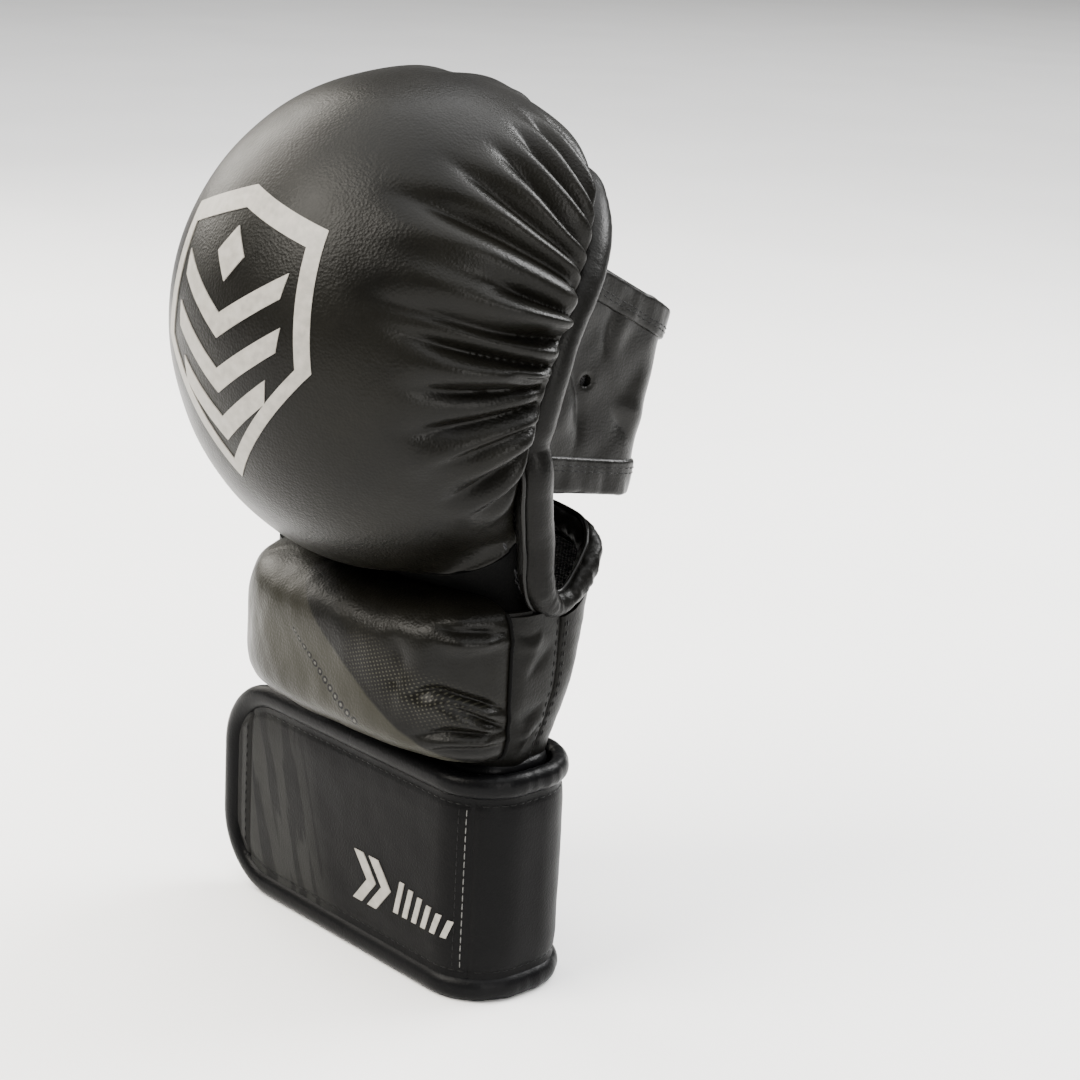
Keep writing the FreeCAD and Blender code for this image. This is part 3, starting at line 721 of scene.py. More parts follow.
def build_dome():
    """The gathered cover of the knuckle pad, drawn as rings from the middle of its front to the seam."""
    cols, rows = int(760 * FINE), int(170 * FINE)
    seam = dome_seam(cols)
    q = (seam - DOME_CENTRE) / DOME_RADII
    rho = np.linalg.norm(q, axis=1)
    phi = np.arccos(np.clip(-q[:, 1] / rho, -1, 1))
    theta = np.arctan2(q[:, 2], q[:, 0])
    s = 1 - (1 - np.linspace(0.004, 1, rows)) ** 1.25
    to_seam = (1 - s)[:, None] * phi[None] * DOME_RADII[0]
    fall = round_edge(to_seam, SEAM_ROUND) / SEAM_ROUND
    r = 1 - (1 - rho)[None] * fall
    angle = s[:, None] * phi[None]
    direction = np.stack([np.sin(angle) * np.cos(theta)[None], -np.cos(angle),
                          np.sin(angle) * np.sin(theta)[None]], -1)
    p = DOME_CENTRE + direction * r[..., None] * DOME_RADII
    n = unit(direction / DOME_RADII)
    shift = dome_point_shift(on_dome(p.reshape(-1, 3)).reshape(p.shape), n, seam)
    shift *= 0.12 + 0.88 * smooth(to_seam / 4.0)
    p = p + n * shift[..., None]
    points = np.concatenate([p.reshape(-1, 3), DOME_CENTRE + np.array([[0, -DOME_RADII[1], 0]])])
    pole = rows * cols
    faces = quads(rows, cols, True)[:, ::-1].tolist() + [[pole, c, (c + 1) % cols] for c in range(cols)]
    dome = make("knuckle_pad_cover", (points, faces), "pad")
    solid = dome.modifiers.new("leather", "SOLIDIFY")
    solid.thickness = 1.4 * MM
    solid.offset = -1
    solid.use_quality_normals = False
    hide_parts("knuckle_cover", "knuckle_foam")
    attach(dome, "knuckle_pad")


# --- rolled edge round the opening --------------------------------------------------------------------
def build_rim():
    """The roll round the dome's rim, both lower corners and the palm's top edge, with its two cords."""
    side = rim_side(ROLL_INSET, lift=True)
    side = side[side[:, 2] > RIM[0][1]]
    half = np.concatenate([np.array(PALM_ROLL, float), side[::14], on_axis(side[-1:])])
    loop = spline(closed_loop(half), int(900 * FINE), closed=True)
    path, radius = loop[:, :3], loop[:, 3]
    out = unit(path - np.array([0, 6, 160]))
    arc = np.arange(len(path)) * np.linalg.norm(path[1] - path[0])
    corner = bell((path[:, 2] - 115) / 9) * smooth((np.abs(path[:, 0]) - 34) / 12)
    palm = smooth((path[:, 1] - 9) / 12) * smooth((140 - path[:, 2]) / 10)
    amount = 0.07 + 0.34 * corner + 0.16 * palm

    def crinkle(points, cosine):
        turn = np.arccos(np.clip(cosine, -1, 1)) * 2.2
        lines = wobble(unrolled(arc, turn) * np.array([1, 1.1, 1]), 7.5, 11, 4)
        return amount[:, None] * (0.5 - 1.6 * np.abs(lines)) + 0.12 * wobble(points, 16, 8, 2)

    roll = make("rim_and_palm_roll", tube(path, radius, out, int(34 * FINE) + 2, 0.92, True, crinkle), "roll")
    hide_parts("rim_roll", "palm_top_roll")
    blend_hand_pad(roll)
    _, up, across = frames(path, out, True)
    radius = radius[:, None]
    low = smooth((150 - path[:, 2:]) / 30)
    welt = path - across * radius * 0.94 + up * radius * (0.72 - 0.25 * low)
    piping = path + across * radius * 0.75 - up * radius * 0.75
    blend_hand_pad(make("rim_welt", tube(welt, WELT_RADIUS, up, 12, 1.0, True), "welt"))
    blend_hand_pad(make("inner_piping", tube(piping, PIPING_RADIUS, up, 8, 1.0, True), "welt"))


def blend_hand_pad(piece):
    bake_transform(piece)


def blend_cuff_hand(piece):
    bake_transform(piece)


def build_neck():
    """The soft leather between the dome and the back of the hand, deep in the gap above the cushion. Its
    near-black colour is painted shade of that gap.
    """
    cols, rows = 160, 30
    upper, lower = (spline(mirror_line(half), cols) for half in (NECK_TOP, NECK_FOOT))
    t = np.linspace(0, 1, rows)[:, None, None]
    p = lower[None] * (1 - t) + upper[None] * t
    p[..., 1] += 7.0 * np.sin(math.pi * t[..., 0]) + 0.5 * wobble(p * np.array([1, 1, 0.3]), 9, 21, 2)
    # the neck is coloured near-black as painted shade of the gap under the dome
    neck = make("neck_leather", slab(p, 1.4), "shade_black")
    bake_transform(neck)


def build_liner():
    """The mesh-lined pocket behind the knuckle pad, drawn as rings from its deepest point to the rim."""
    side = rim_side(ROLL_INSET, lift=True)[:, :3]
    side = side[side[:, 2] > 132] - np.array([3.6, 0, 0])
    side = side[side[:, 0] > 0][::16]
    half = np.concatenate([np.array(LINER_FOOT, float), side, on_axis(side[-1:])])
    edge = spline(closed_loop(half), int(420 * FINE), closed=True)
    pole = np.array([0, -29.0, 164.0])
    turn = np.linspace(0.01, 1, int(110 * FINE)) * math.pi / 2
    wide, deep = np.sin(turn) ** 0.75, 1 - np.cos(turn) ** 0.75
    p = pole + (edge - pole)[None] * np.stack([wide, deep, wide], -1)[:, None]
    p = p + grid_normals(p, True) * (0.5 * wobble(p, 18, 31, 3))[..., None]
    limit = 7 * (p[..., 0] / 46) ** 2 - 7 - np.maximum(p[..., 2] - 110, 0) * 0.5
    p[..., 1] = np.maximum(p[..., 1], np.where(p[..., 2] < 133, limit, -60))
    make("hood_liner", slab(p, -1.1, True), "mesh", "knuckle_pad", ("knuckle_liner",))


# --- finger band --------------------------------------------------------------------------------------
def section_at(sections, z):
    """Half width, half depth, centre y and corner radius of an outline at height z."""
    return [np.interp(z, sections[:, 0], sections[:, k]) for k in range(1, 5)]


def around(sections, a, z, y0):
    """A point of an outline at height z. a runs 0 to 1 from the little-finger side, at y0, round the palm."""
    half_width, half_depth, centre_y, corner = section_at(sections, z)
    side = np.maximum(centre_y + half_depth - corner - y0, 0)
    arc, face = corner * math.pi / 2, 2 * (half_width - corner)
    s = a * (2 * side + 2 * arc + face)
    mirrored = s > side + arc + face / 2
    s = np.where(mirrored, 2 * side + 2 * arc + face - s, s)
    angle = np.clip((s - side) / corner, 0, math.pi / 2)
    x = half_width - corner + corner * np.cos(angle) - np.maximum(s - side - arc, 0)
    y = np.minimum(y0 + s, y0 + side) + corner * np.sin(angle)
    return np.where(mirrored, -x, x), y


def rim_y(z):
    """The y of the dome's seam in side view, at height z."""
    yz = spline([(0, y, z) for y, z in RIM], 120)
    return np.interp(z, yz[:, 2], yz[:, 1])


def band_grid(rows, cols):
    """The finger band's middle surface, rows from its lower to its upper edge."""
    f, a = shares(rows, cols)
    z = np.full(a.shape, 170.0)
    for _ in range(8):
        y0 = rim_y(z) + 7.0
        x, y = around(BAND_SECTIONS, a, z, y0)
        z = (BAND_LOW + BAND_LOW_SLOPE * y) * (1 - f) + (BAND_HIGH + BAND_HIGH_SLOPE * y) * f
    reach = dome_half_width(rim_y(z), z, ROLL_INSET) - 5.0
    flare = (1 - smooth((y - y0) / 11.0)) * np.maximum(reach - BAND_HALF_WIDTH, 0)
    return np.stack([x + np.sign(x) * flare, y, z], -1)


# path, width, depth, ridge and side of the ridge of each fold
BAND_FOLDS = [
    ([(46, 6, 186), (46, 14, 176), (45, 17, 160), (45, 14, 150)], 5.0, 1.6, 0.9, 1),
    ([(46, 30, 196), (45, 26, 186), (45, 25, 176)], 4.0, 1.0, 0.8, -1),
    ([(45, 40, 150), (45, 33, 158), (45, 28, 164)], 4.0, 1.0, 0.9, 1),
    ([(-46, 2, 188), (-46, 7, 176), (-45, 10, 160), (-45, 8, 150)], 4.6, 1.5, 0.9, 1),
    ([(-30, 52, 160), (-12, 50, 152), (8, 49, 149)], 5.0, 1.4, 0.9, 1),
    ([(30, 57, 178), (12, 55, 170), (-6, 53, 168)], 5.5, 1.4, 1.0, -1),
    ([(10, 58, 184), (0, 56, 176), (-10, 53, 160)], 4.5, 1.1, 0.8, 1),
]


def band_form(p, normals):
    """Soft bulges and folds of the band, as a height change, with a dimple at the vent hole."""
    shift = 0.9 * wobble(p, 46, 41, 2) + 0.25 * wobble(p, 13, 42, 2) + creased(p, normals, BAND_FOLDS, True)
    away = np.hypot(p[..., 1] - VENT[0], p[..., 2] - VENT[1])
    return shift - 0.5 * bell((away - VENT_RADIUS) / 0.6) * (np.abs(p[..., 0]) > 30)


def cut_vent(p):
    """Moves the points near the vent hole's edge onto it, and says which points stay."""
    offset = p[..., 1:] - VENT
    far = np.maximum(np.linalg.norm(offset, axis=-1, keepdims=True), 1e-6)
    side = np.abs(p[..., :1]) > 30
    near = side & (np.abs(far - VENT_RADIUS) < 0.4)
    p[..., 1:] = np.where(near, VENT + offset / far * VENT_RADIUS, p[..., 1:])
    return (~side | near | (far > VENT_RADIUS)).ravel()


def build_band():
    """The finger band with its lining, its vent holes and two folded, stitched hems."""
    rows, cols = int(130 * FINE), int(400 * FINE)
    p = band_grid(rows, cols)
    n = grid_normals(p)
    p = p + n * band_form(p, n)[..., None]
    n = grid_normals(p)
    keep = cut_vent(p)
    make("finger_band", slab(p, 1.8, normals=n, keep=keep), "band", "knuckle_pad", ("finger_band",))
    inner = p - n * 2.2
    make("finger_band_lining", slab(inner[3:-3:2, 2:-2:2], LINING), "lining", "knuckle_pad",
         ("finger_band_lining",))
    build_hem("finger_band_top_hem", p, upper=True)
    build_hem("finger_band_bottom_hem", p, upper=False)


def build_hem(name, p, upper):
    """The folded hem along one edge of the band, with two lines of stitches."""
    rows, cols = p.shape[:2]
    t = np.linspace(0, 1, HEM_ROWS)
    share = HEM / np.linalg.norm(p[-1] - p[0], axis=1)
    lines = []
    for c in range(cols):
        at = (1 - t * share[c] if upper else t * share[c]) * (rows - 1)
        lines.append(np.stack([np.interp(at, np.arange(rows), p[:, c, k]) for k in range(3)], -1))
    h = np.stack(lines, 1)
    n = grid_normals(h) * (-1 if upper else 1)
    edge = np.minimum(t, 1 - t)[:, None] * HEM
    lift = 1.0 - round_edge(edge, 1.1) + 0.22 * wobble(h * np.array([1, 1, 0.4]), 7, 44, 2)
    wave = (t[:, None] < 0.3) * 0.5 * wobble(h, 14, 45, 2)
    h = h + n * lift[..., None] + np.array([0, 0, 1]) * wave[..., None]
    if upper:
        h, n = h[::-1], n[::-1]
    make(name, slab(h, 3.6, normals=n), "band", "knuckle_pad", (name,))
    for k, inset in enumerate((2.0, 3.4)):
        row = int((1 - inset / HEM) * (HEM_ROWS - 1))
        row = HEM_ROWS - 1 - row if upper else row
        stitches("%s_stitch_%d" % (name, k + 1), h[row, 4:-4], n[row, 4:-4], "knuckle_pad", HEM_STITCH)


def build_dividers():
    """Three soft straps across the finger pocket, with raw cut edges."""
    straps, edges = [], []
    f, a = shares(26, 70)
    for i, x0 in enumerate((-21.5, 0.0, 21.5)):
        low = 148 + 3 * np.sin(a * 3 + i)
        high = 182 + 10 * a**2 + 2.5 * np.sin(a * 6 + i * 2)
        x = x0 + 2.0 * np.sin(a * 5 + i * 1.7 + f * 1.5) + 0.8 * np.sin(a * 13 + f * 4 + i)
        p = np.stack([x, -25 + 66 * a, low + (high - low) * f], -1)
        straps.append(slab(p + np.array([0.9, 0, 0]), 1.8))
        edges += [tube(p[row], 1.15, (1, 0, 0), 10) for row in (0, -1)]
    make("finger_dividers", join(straps), "panel", "knuckle_pad", ("finger_dividers",))
    make("finger_divider_edges", join(edges), "raw", "knuckle_pad")


# --- hand ---------------------------------------------------------------------------------------------
def hand_x(y, z):
    """Half width of the hand at y and z."""
    half_width, half_depth, centre_y, corner = section_at(HAND_SECTIONS, z)
    beyond = np.clip(np.abs(y - centre_y) - (half_depth - corner), 0, 0.95 * corner)
    return half_width - corner + np.sqrt(corner**2 - beyond**2)


def palm_seam_y(z):
    """The y of the seam between the palm and the side panels."""
    _, half_depth, centre_y, corner = section_at(HAND_SECTIONS, z)
    return np.minimum(PALM_SEAM_Y, centre_y + half_depth - corner)


def slot_distance(y, z):
    """Distance from the thumb opening's edge, on the side view, and the way out of it."""
    dy = y - THUMB_CENTRE_Y
    dz = np.where(z > THUMB_HIGH, z - THUMB_HIGH, np.minimum(z - THUMB_LOW, 0))
    far = np.maximum(np.hypot(dy, dz), 1e-6)
    return far - THUMB_RADIUS, dy / far, dz / far


def cut_slot(p, step):
    """Moves the points just inside the thumb opening onto its edge, and says which points stay."""
    d, wy, wz = slot_distance(p[..., 1], p[..., 2])
    here = p[..., 0] < -20
    move = here & (d < 0) & (d > -step)
    p[..., 1] -= np.where(move, d * wy, 0)
    p[..., 2] -= np.where(move, d * wz, 0)
    return (~here | (d > -step)).ravel()


# path, width, depth, ridge and side of the ridge of each fold
PALM_FOLDS = [
    ([(-30, 24, 118), (-18, 26, 100), (-8, 24, 84), (-4, 20, 70)], 5.0, 1.8, 1.0, 1),
    ([(34, 25, 112), (20, 26, 104), (2, 26, 102), (-14, 26, 106)], 5.0, 1.3, 0.9, -1),
    ([(40, 20, 92), (26, 24, 88), (12, 24, 80)], 4.5, 1.2, 0.9, 1),
    ([(-44, 14, 70), (-34, 18, 74), (-22, 21, 78)], 4.0, 1.4, 0.8, 1),
    ([(44, 14, 72), (36, 17, 74), (26, 20, 72)], 4.0, 1.2, 0.8, -1),
]
GUSSET_FOLDS = [
    ([(49, 6, 104), (49, 1, 98), (49, -5, 93)], 3.4, 0.9, 0.8, 1),
    ([(48, -8, 84), (48, -1, 82), (48, 5, 86)], 3.6, 1.0, 0.8, 1),
    ([(47, -4, 70), (47, 1, 74), (47, 4, 80)], 2.8, 0.8, 0.6, -1),
    ([(49, -9, 109), (49, -4, 106), (49, 0, 108)], 2.0, 0.8, 0.6, 1),
]


def build_palm():
    """The palm panel with the slot of the thumb opening, its lining and its stitches."""
    rows, cols = int(100 * FINE), int(300 * FINE)
    f, a = shares(rows, cols)
    z = np.full(a.shape, 90.0)
    for _ in range(8):
        x, y = around(HAND_SECTIONS, a, z, palm_seam_y(z))
        top = np.interp(y, PALM_EDGE[:, 0], PALM_EDGE[:, 1])
        z = HAND_BOTTOM + (top - HAND_BOTTOM) * f
    p = np.stack([x, y, z], -1)
    n = grid_normals(p)
    edge = np.minimum(a, 1 - a) * 150
    shift = 0.9 * wobble(p, 40, 51, 2) + 0.2 * wobble(p, 11, 52, 2)
    shift += creased(p, n, PALM_FOLDS, True) - round_edge(edge, 1.6) * 0.9
    seam = spline(PALM_TUCK, 40)
    far = np.sqrt(((p[:, :, None] - seam[None, None]) ** 2).sum(-1)).min(-1)
    shift -= 0.9 * bell(far / 0.8)
    p = p + n * shift[..., None]
    keep = cut_slot(p, SLOT_STEP)
    blend_cuff_hand(make("palm_panel", slab(p, PANEL, normals=n, keep=keep), "panel", None, ("palm_panel",)))
    inner, kept = (p - n * 1.9)[1:-3], keep.reshape(rows, cols)[1:-3].ravel()
    lining = slab(inner, LINING, normals=n[1:-3], keep=kept)
    blend_cuff_hand(make("hand_lining", lining, "lining", None, ("hand_lining",)))
    for k, col in enumerate((3, 5)):
        for side, c in (("little_finger", col), ("thumb", cols - 1 - col)):
            path, out = p[6:-2, c], n[6:-2, c]
            shown = path[:, 2] > 70
            if side == "thumb":
                shown &= path[:, 2] < 74
            stitches("palm_%s_stitch_%d" % (side, k + 1), path[shown], out[shown], "hand", LONG_STITCH)


def build_side(name, sign):
    """The panel on one side of the hand. The little-finger side's is folded and has stitched edges."""
    rows, cols = int(90 * FINE), int(36 * FINE)
    f, t = shares(rows, cols)
    z = HAND_BOTTOM + (SIDE_TOP - HAND_BOTTOM) * f
    if sign < 0:
        t = 1 - t
    y = SIDE_BACK_Y + (palm_seam_y(z) + 0.4 - SIDE_BACK_Y) * t
    p = np.stack([sign * hand_x(y, z), y, z], -1)
    n = grid_normals(p)
    shift = 1.7 * np.sin(math.pi * t) ** 0.6 - 0.6 + 0.4 * wobble(p, 26, 61, 2)
    if sign > 0:
        shift += creased(p, n, GUSSET_FOLDS, True)
    p = p + n * shift[..., None]
    keep = cut_slot(p, SLOT_STEP) if sign < 0 else None
    blend_cuff_hand(make(name, slab(p, PANEL, normals=n, keep=keep), "panel", None, (name,)))
    if sign > 0:
        for k, col in enumerate((2, cols - 4)):
            stitches("gusset_stitch_%d" % (k + 1), p[6:-4, col], n[6:-4, col], "hand", LONG_STITCH)


def build_sides():
    """The gusset on the little-finger side, the matching panel on the thumb side, and the hand's back."""
    build_side("little_finger_side_panel", 1)
    build_side("thumb_side_panel", -1)
    f, a = shares(40, 120)
    z = HAND_BOTTOM + (BACK_TOP - HAND_BOTTOM) * f
    _, half_depth, centre_y, corner = section_at(HAND_SECTIONS, z)
    flipped = HAND_SECTIONS * np.array([1, 1, 1, -1, 1])
    x, y = around(flipped, a, z, np.minimum(10.0, -centre_y + half_depth - corner))
    p = np.stack([x, -y, z], -1)[:, ::-1]
    blend_cuff_hand(make("back_panel", slab(p, PANEL), "panel", None, ("back_panel",)))


def build_thumb_roll():
    """The padded, crinkled binding of the thumb opening and its thin welt."""
    radius = THUMB_RADIUS + 2.6
    angle = np.linspace(0, 2 * math.pi, 220, endpoint=False)
    z = np.where(angle < math.pi, THUMB_HIGH, THUMB_LOW) + radius * np.sin(angle)
    y = THUMB_CENTRE_Y + radius * np.cos(angle)
    ring = np.stack([-hand_x(y, z) - 1.6, y, z], 1)
    path = even(np.concatenate([ring, ring[:1]]), 260, True)
    arc = np.arange(len(path)) * 0.42

    def crinkle(points, cosine):
        return 0.32 * (0.5 - 1.5 * np.abs(wobble(unrolled(arc, 2 * cosine), 5.0, 71, 3)))

    roll = make("thumb_opening_roll", tube(path, 3.0, (-1, 0, 0), 24, 0.9, True, crinkle), "roll", "hand",
                ("thumb_opening_binding",))
    centre = np.array([0, THUMB_CENTRE_Y, (THUMB_LOW + THUMB_HIGH) / 2])
    away = unit((path - centre) * np.array([0, 1, 1]))
    welt = path + away * 3.1 + np.array([-0.6, 0, 0])
    make("thumb_opening_welt", tube(welt, 0.6, (-1, 0, 0), 8, 1.0, True), "welt", "hand")


# creases of the back-of-hand cushion: path, width, depth, ridge, side of the ridge
CUSHION_CREASES = [
    ([(33, -36, 88), (37, -34, 91.5), (43, -30, 92.8), (48, -23, 91), (51, -14, 88)], 2.9, 2.3, 1.9, 1),
    ([(40, -32, 86.5), (44, -29, 88.6), (48, -22, 87), (51, -14, 83)], 2.4, 2.1, 1.5, 1),
    ([(34, -36, 78), (40, -33, 80), (46, -27, 81.4), (51, -14, 81)], 2.2, 1.3, 1.0, 1),
    ([(40, -32, 74), (46, -27, 76), (51, -14, 77)], 2.0, 0.8, 0.6, -1),
    ([(40, -31, 113), (46, -26, 110.5), (51, -14, 109)], 2.8, 1.6, 1.9, 1),
    ([(-42, -30, 112), (-43.5, -28, 100), (-44, -27, 86), (-42, -29, 74)], 2.6, 1.6, 0.9, 1),
    ([(30, -37, 108), (34, -36, 100), (32, -36, 94)], 5.0, 0.7, 1.1, -1),
]


def build_cushion():
    """The padded cushion on the back of the hand, drawn as rings from its middle, and its seam's cord."""
    rows, cols = int(150 * FINE), int(520 * FINE)
    turn = np.linspace(0, 2 * math.pi, cols, endpoint=False)
    s = np.sin(np.linspace(0.01, 1, rows) * math.pi / 2)[:, None] ** 0.85
    c, d = np.cos(turn), np.sin(turn)
    corner = 6.5 + 2.5 * c
    rim = (np.abs(c) ** corner + np.abs(d) ** corner) ** (-1 / corner)
    across = s * (c * rim)[None]
    x = CUSHION_CENTRE[0] + CUSHION_HALF_WIDTH * across
    z = CUSHION_CENTRE[2] + CUSHION_HALF_HEIGHT * s * (d * rim)[None]
    depth = CUSHION_DEPTH - 7.0 * across**2 - 1.0 * across
    sag = 1.6 * smooth((98 - z) / 30) * (1 - s**4)
    y = CUSHION_CENTRE[1] - depth * (1 - s**4.2) ** (1 / 2.2) - sag
    p = np.stack([x, y, z], -1)
    n = -grid_normals(p, True)
    shift = 0.5 * wobble(p, 30, 81, 2) + 0.12 * wobble(p, 9, 82, 2) + creased(p, n, CUSHION_CREASES)
    shift *= smooth((1 - s) / 0.03) * 0.7 + 0.3
    p = p + n * shift[..., None]
    points = np.concatenate([p.reshape(-1, 3), CUSHION_CENTRE + np.array([[0, -28.0, 0], [0, 4, 0]])])
    front, back, last = rows * cols, rows * cols + 1, (rows - 1) * cols
    faces = quads(rows, cols, True)[:, ::-1].tolist()
    faces += [[front, k, (k + 1) % cols] for k in range(cols)]
    faces += [[back, last + (k + 1) % cols, last + k] for k in range(cols)]
    cushion = make("back_hand_cushion", (points, faces), "cushion", None,
                   ("back_cushion_cover", "back_cushion_foam"))
    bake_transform(cushion)
    edge = np.roll(p[-2], cols // 2, axis=0)
    edge = even(edge[edge[:, 0] > 48.5], 120) + np.array([0.5, 0, 0])
    # the cord is coloured with the near-black painted shade leather, which darkens the seam line
    cord = make("cushion_seam_cord", tube(edge, 0.55, (1, 0, 0), 10), "shade_black")
    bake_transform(cord)


# --- cuff and strap -----------------------------------------------------------------------------------
def plan(s, offset=0.0):
    """Point and outward direction of the strap's plan. s runs from the middle of the back, towards +X."""
    s = np.asarray(s, float)
    side, arc = 2 * (CUFF_HALF_DEPTH - CUFF_CORNER), CUFF_CORNER * math.pi / 2
    starts = np.cumsum([STRAIGHT, arc, side, arc, 2 * STRAIGHT, arc])
    centres = [(STRAIGHT, -1), (STRAIGHT, 1), (-STRAIGHT, 1)]
    x, y, nx, ny = s + 0.0, np.full(s.shape, -CUFF_HALF_DEPTH), 0 * s, 0 * s - 1
    for k, start in enumerate(starts):
        t = s - start
        if k % 2 == 0:
            cx, way = centres[k // 2]
            angle = -math.pi / 2 + (k // 2) * math.pi / 2 + t / CUFF_CORNER
            c, d = np.cos(angle), np.sin(angle)
            run = (cx + CUFF_CORNER * c, way * side / 2 + CUFF_CORNER * d, c, d)
        elif k == 1:
            run = (CUFF_HALF_WIDTH + 0 * t, -side / 2 + t, 1 + 0 * t, 0 * t)
        elif k == 3:
            run = (STRAIGHT - t, CUFF_HALF_DEPTH + 0 * t, 0 * t, 1 + 0 * t)
        else:
            run = (-CUFF_HALF_WIDTH + 0 * t, side / 2 - t, -1 + 0 * t, 0 * t)
        x, y, nx, ny = (np.where(s >= start, new, old) for new, old in zip(run, (x, y, nx, ny)))
    return np.stack([x + nx * offset, y + ny * offset], -1), np.stack([nx, ny], -1)


def to_strap_edge(z):
    """Distance from the nearer edge of the strap's face."""
    return np.minimum(z - FACE_LOW, FACE_HIGH - z)


def face_grain(p):
    """Slow unevenness of the strap's face."""
    return 0.12 * wobble(p, 22, 91, 3)


def face_puff(to_edge):
    """The strap's face swells a little and dips into the stitched channel beside each roll."""
    return 0.55 * smooth(to_edge / 9) - 0.5 * bell((to_edge - 2.2) / 0.7) - 0.2


def strap_face(s0, s1, step=0.9):
    """The strap's face between two places of its plan: its shape, its grid and the normals."""
    cols, rows = int((s1 - s0) / step), int(62 * FINE)
    z, s = np.meshgrid(np.linspace(FACE_LOW, FACE_HIGH, rows), np.linspace(s0, s1, cols), indexing="ij")
    xy, n = plan(s)
    p = np.concatenate([xy, z[..., None]], -1)
    n = np.concatenate([n, 0 * z[..., None]], -1)
    lift = face_puff(to_strap_edge(z)) + face_grain(p) - 0.45 * bell((s - SEAM_S) / 0.7)
    p = p + n * lift[..., None]
    return slab(p, FACE_THICK, normals=n), p, n


def strap_roll(s, z):
    """The middle line of one of the strap's rolled edges, and the way out of it."""
    xy, n = plan(s, -ROLL_SET_BACK)
    path = np.concatenate([xy, np.full((len(s), 1), z)], 1)
    return path, np.concatenate([n, np.zeros((len(s), 1))], 1)


def roll_crinkle(path, amount, seed):
    """Fine wrinkles across a rolled edge."""
    arc = np.concatenate([[0], np.cumsum(np.linalg.norm(np.diff(path, axis=0), axis=1))])

    def crinkle(points, cosine):
        lines = wobble(unrolled(arc, 1.5 * cosine), 9.0, seed, 3)
        return amount * (0.4 - np.abs(lines)) + 0.12 * wobble(points, 25, seed + 1, 2)

    return crinkle


def blend_flap(piece):
    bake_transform(piece)


def blend_tab(piece):
    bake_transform(piece)


def build_wrap():
    """The part of the strap that stays on the cuff: face, two rolled edges, end binding, stitches."""
    face, p, n = strap_face(SEAM_S, WRAP_END_S)
    wrap = make("strap_wrap", face, "strap", "cuff", ("strap_wrap_face", "strap_wrap_foam"))
    s = np.linspace(SEAM_S, WRAP_END_S, 260)
    for name, z, seed in (("strap_wrap_lower", LOW_ROLL_Z, 101), ("strap_wrap_upper", HIGH_ROLL_Z, 103)):
        path, out = strap_roll(s, z)
        shape = tube(path, STRAP_ROLL, out, 22, 0.8, False, roll_crinkle(path, 0.22, seed))
        made = make(name + "_roll", shape, "edge", "cuff", (name + "_edge",))
    end, _ = plan(np.array([WRAP_END_S]), -ROLL_SET_BACK)
    path = np.array([[end[0, 0], end[0, 1], z] for z in np.linspace(4, CUFF_HEIGHT - 4, 60)])
    make("strap_wrap_end_binding", tube(path, 1.9, (-1, 0, 0), 14, 0.95), "edge", "cuff")
    for k, row in enumerate(STITCH_ROWS):
        stitches("strap_wrap_stitch_%d" % (k + 1), p[row, 2:-2], n[row, 2:-2], "cuff", STRAP_STITCH)


def build_flap():
    """The strap's free flap between its sewn seam and the tab, with the double line of seam stitches."""
    face, p, n = strap_face(SPLIT_X, SEAM_S, 0.7)
    flap = make("strap_flap", face, "print", None, ("flap_face", "flap_foam"))
    blend_flap(flap)
    s = np.linspace(SPLIT_X, SEAM_S, 80)
    for side, z in (("lower", LOW_ROLL_Z), ("upper", HIGH_ROLL_Z)):
        path, out = strap_roll(s, z)
        roll = make("strap_flap_%s_roll" % side, tube(path, STRAP_ROLL, out, 22, 0.8), "edge", None,
                    ("flap_%s_edge" % side,))
        blend_flap(roll)
    for k, row in enumerate(STITCH_ROWS):
        blend_flap(stitches("strap_flap_stitch_%d" % (k + 1), p[row, 1:-1], n[row, 1:-1], None, STRAP_STITCH))
    for k, (before, thread) in enumerate(((4.6, "thread"), (2.0, "pale thread"))):
        col = int(round((1 - before / (SEAM_S - SPLIT_X)) * (p.shape[1] - 1)))
        blend_flap(stitches("strap_seam_stitch_%d" % (k + 1), p[4:-4, col], n[4:-4, col], None, SEAM_STITCH,
                            thread))


def tab_height(x, inset):
    """Half height of the tab's outline at x, for an outline that is inset on all sides."""
    corner = TAB_CORNER - inset
    middle = CUFF_HEIGHT / 2 - inset - corner
    t = np.clip((TAB_TIP + TAB_CORNER - x) / corner, 0, 0.995)
    return middle + corner * np.sqrt(1 - t * t)


def tab_roll_line():
    """The middle line of the rolled edge round the tab."""
    r, centre_x = TAB_CORNER - LOW_ROLL_Z, TAB_TIP + TAB_CORNER
    turn = np.linspace(0, math.pi / 2, 30)
    lower = np.stack([centre_x - r * np.sin(turn), 0 * turn, TAB_CORNER - r * np.cos(turn)], 1)
    upper = lower[::-1] * np.array([1, 1, -1]) + np.array([0, 0, CUFF_HEIGHT])
    path = np.concatenate([[[SPLIT_X, 0, LOW_ROLL_Z], [-20, 0, LOW_ROLL_Z]], lower, upper,
                           [[-20, 0, HIGH_ROLL_Z], [SPLIT_X, 0, HIGH_ROLL_Z]]])
    path = even(path, 260)
    path[:, 1] = -CUFF_HALF_DEPTH + ROLL_SET_BACK
    return path


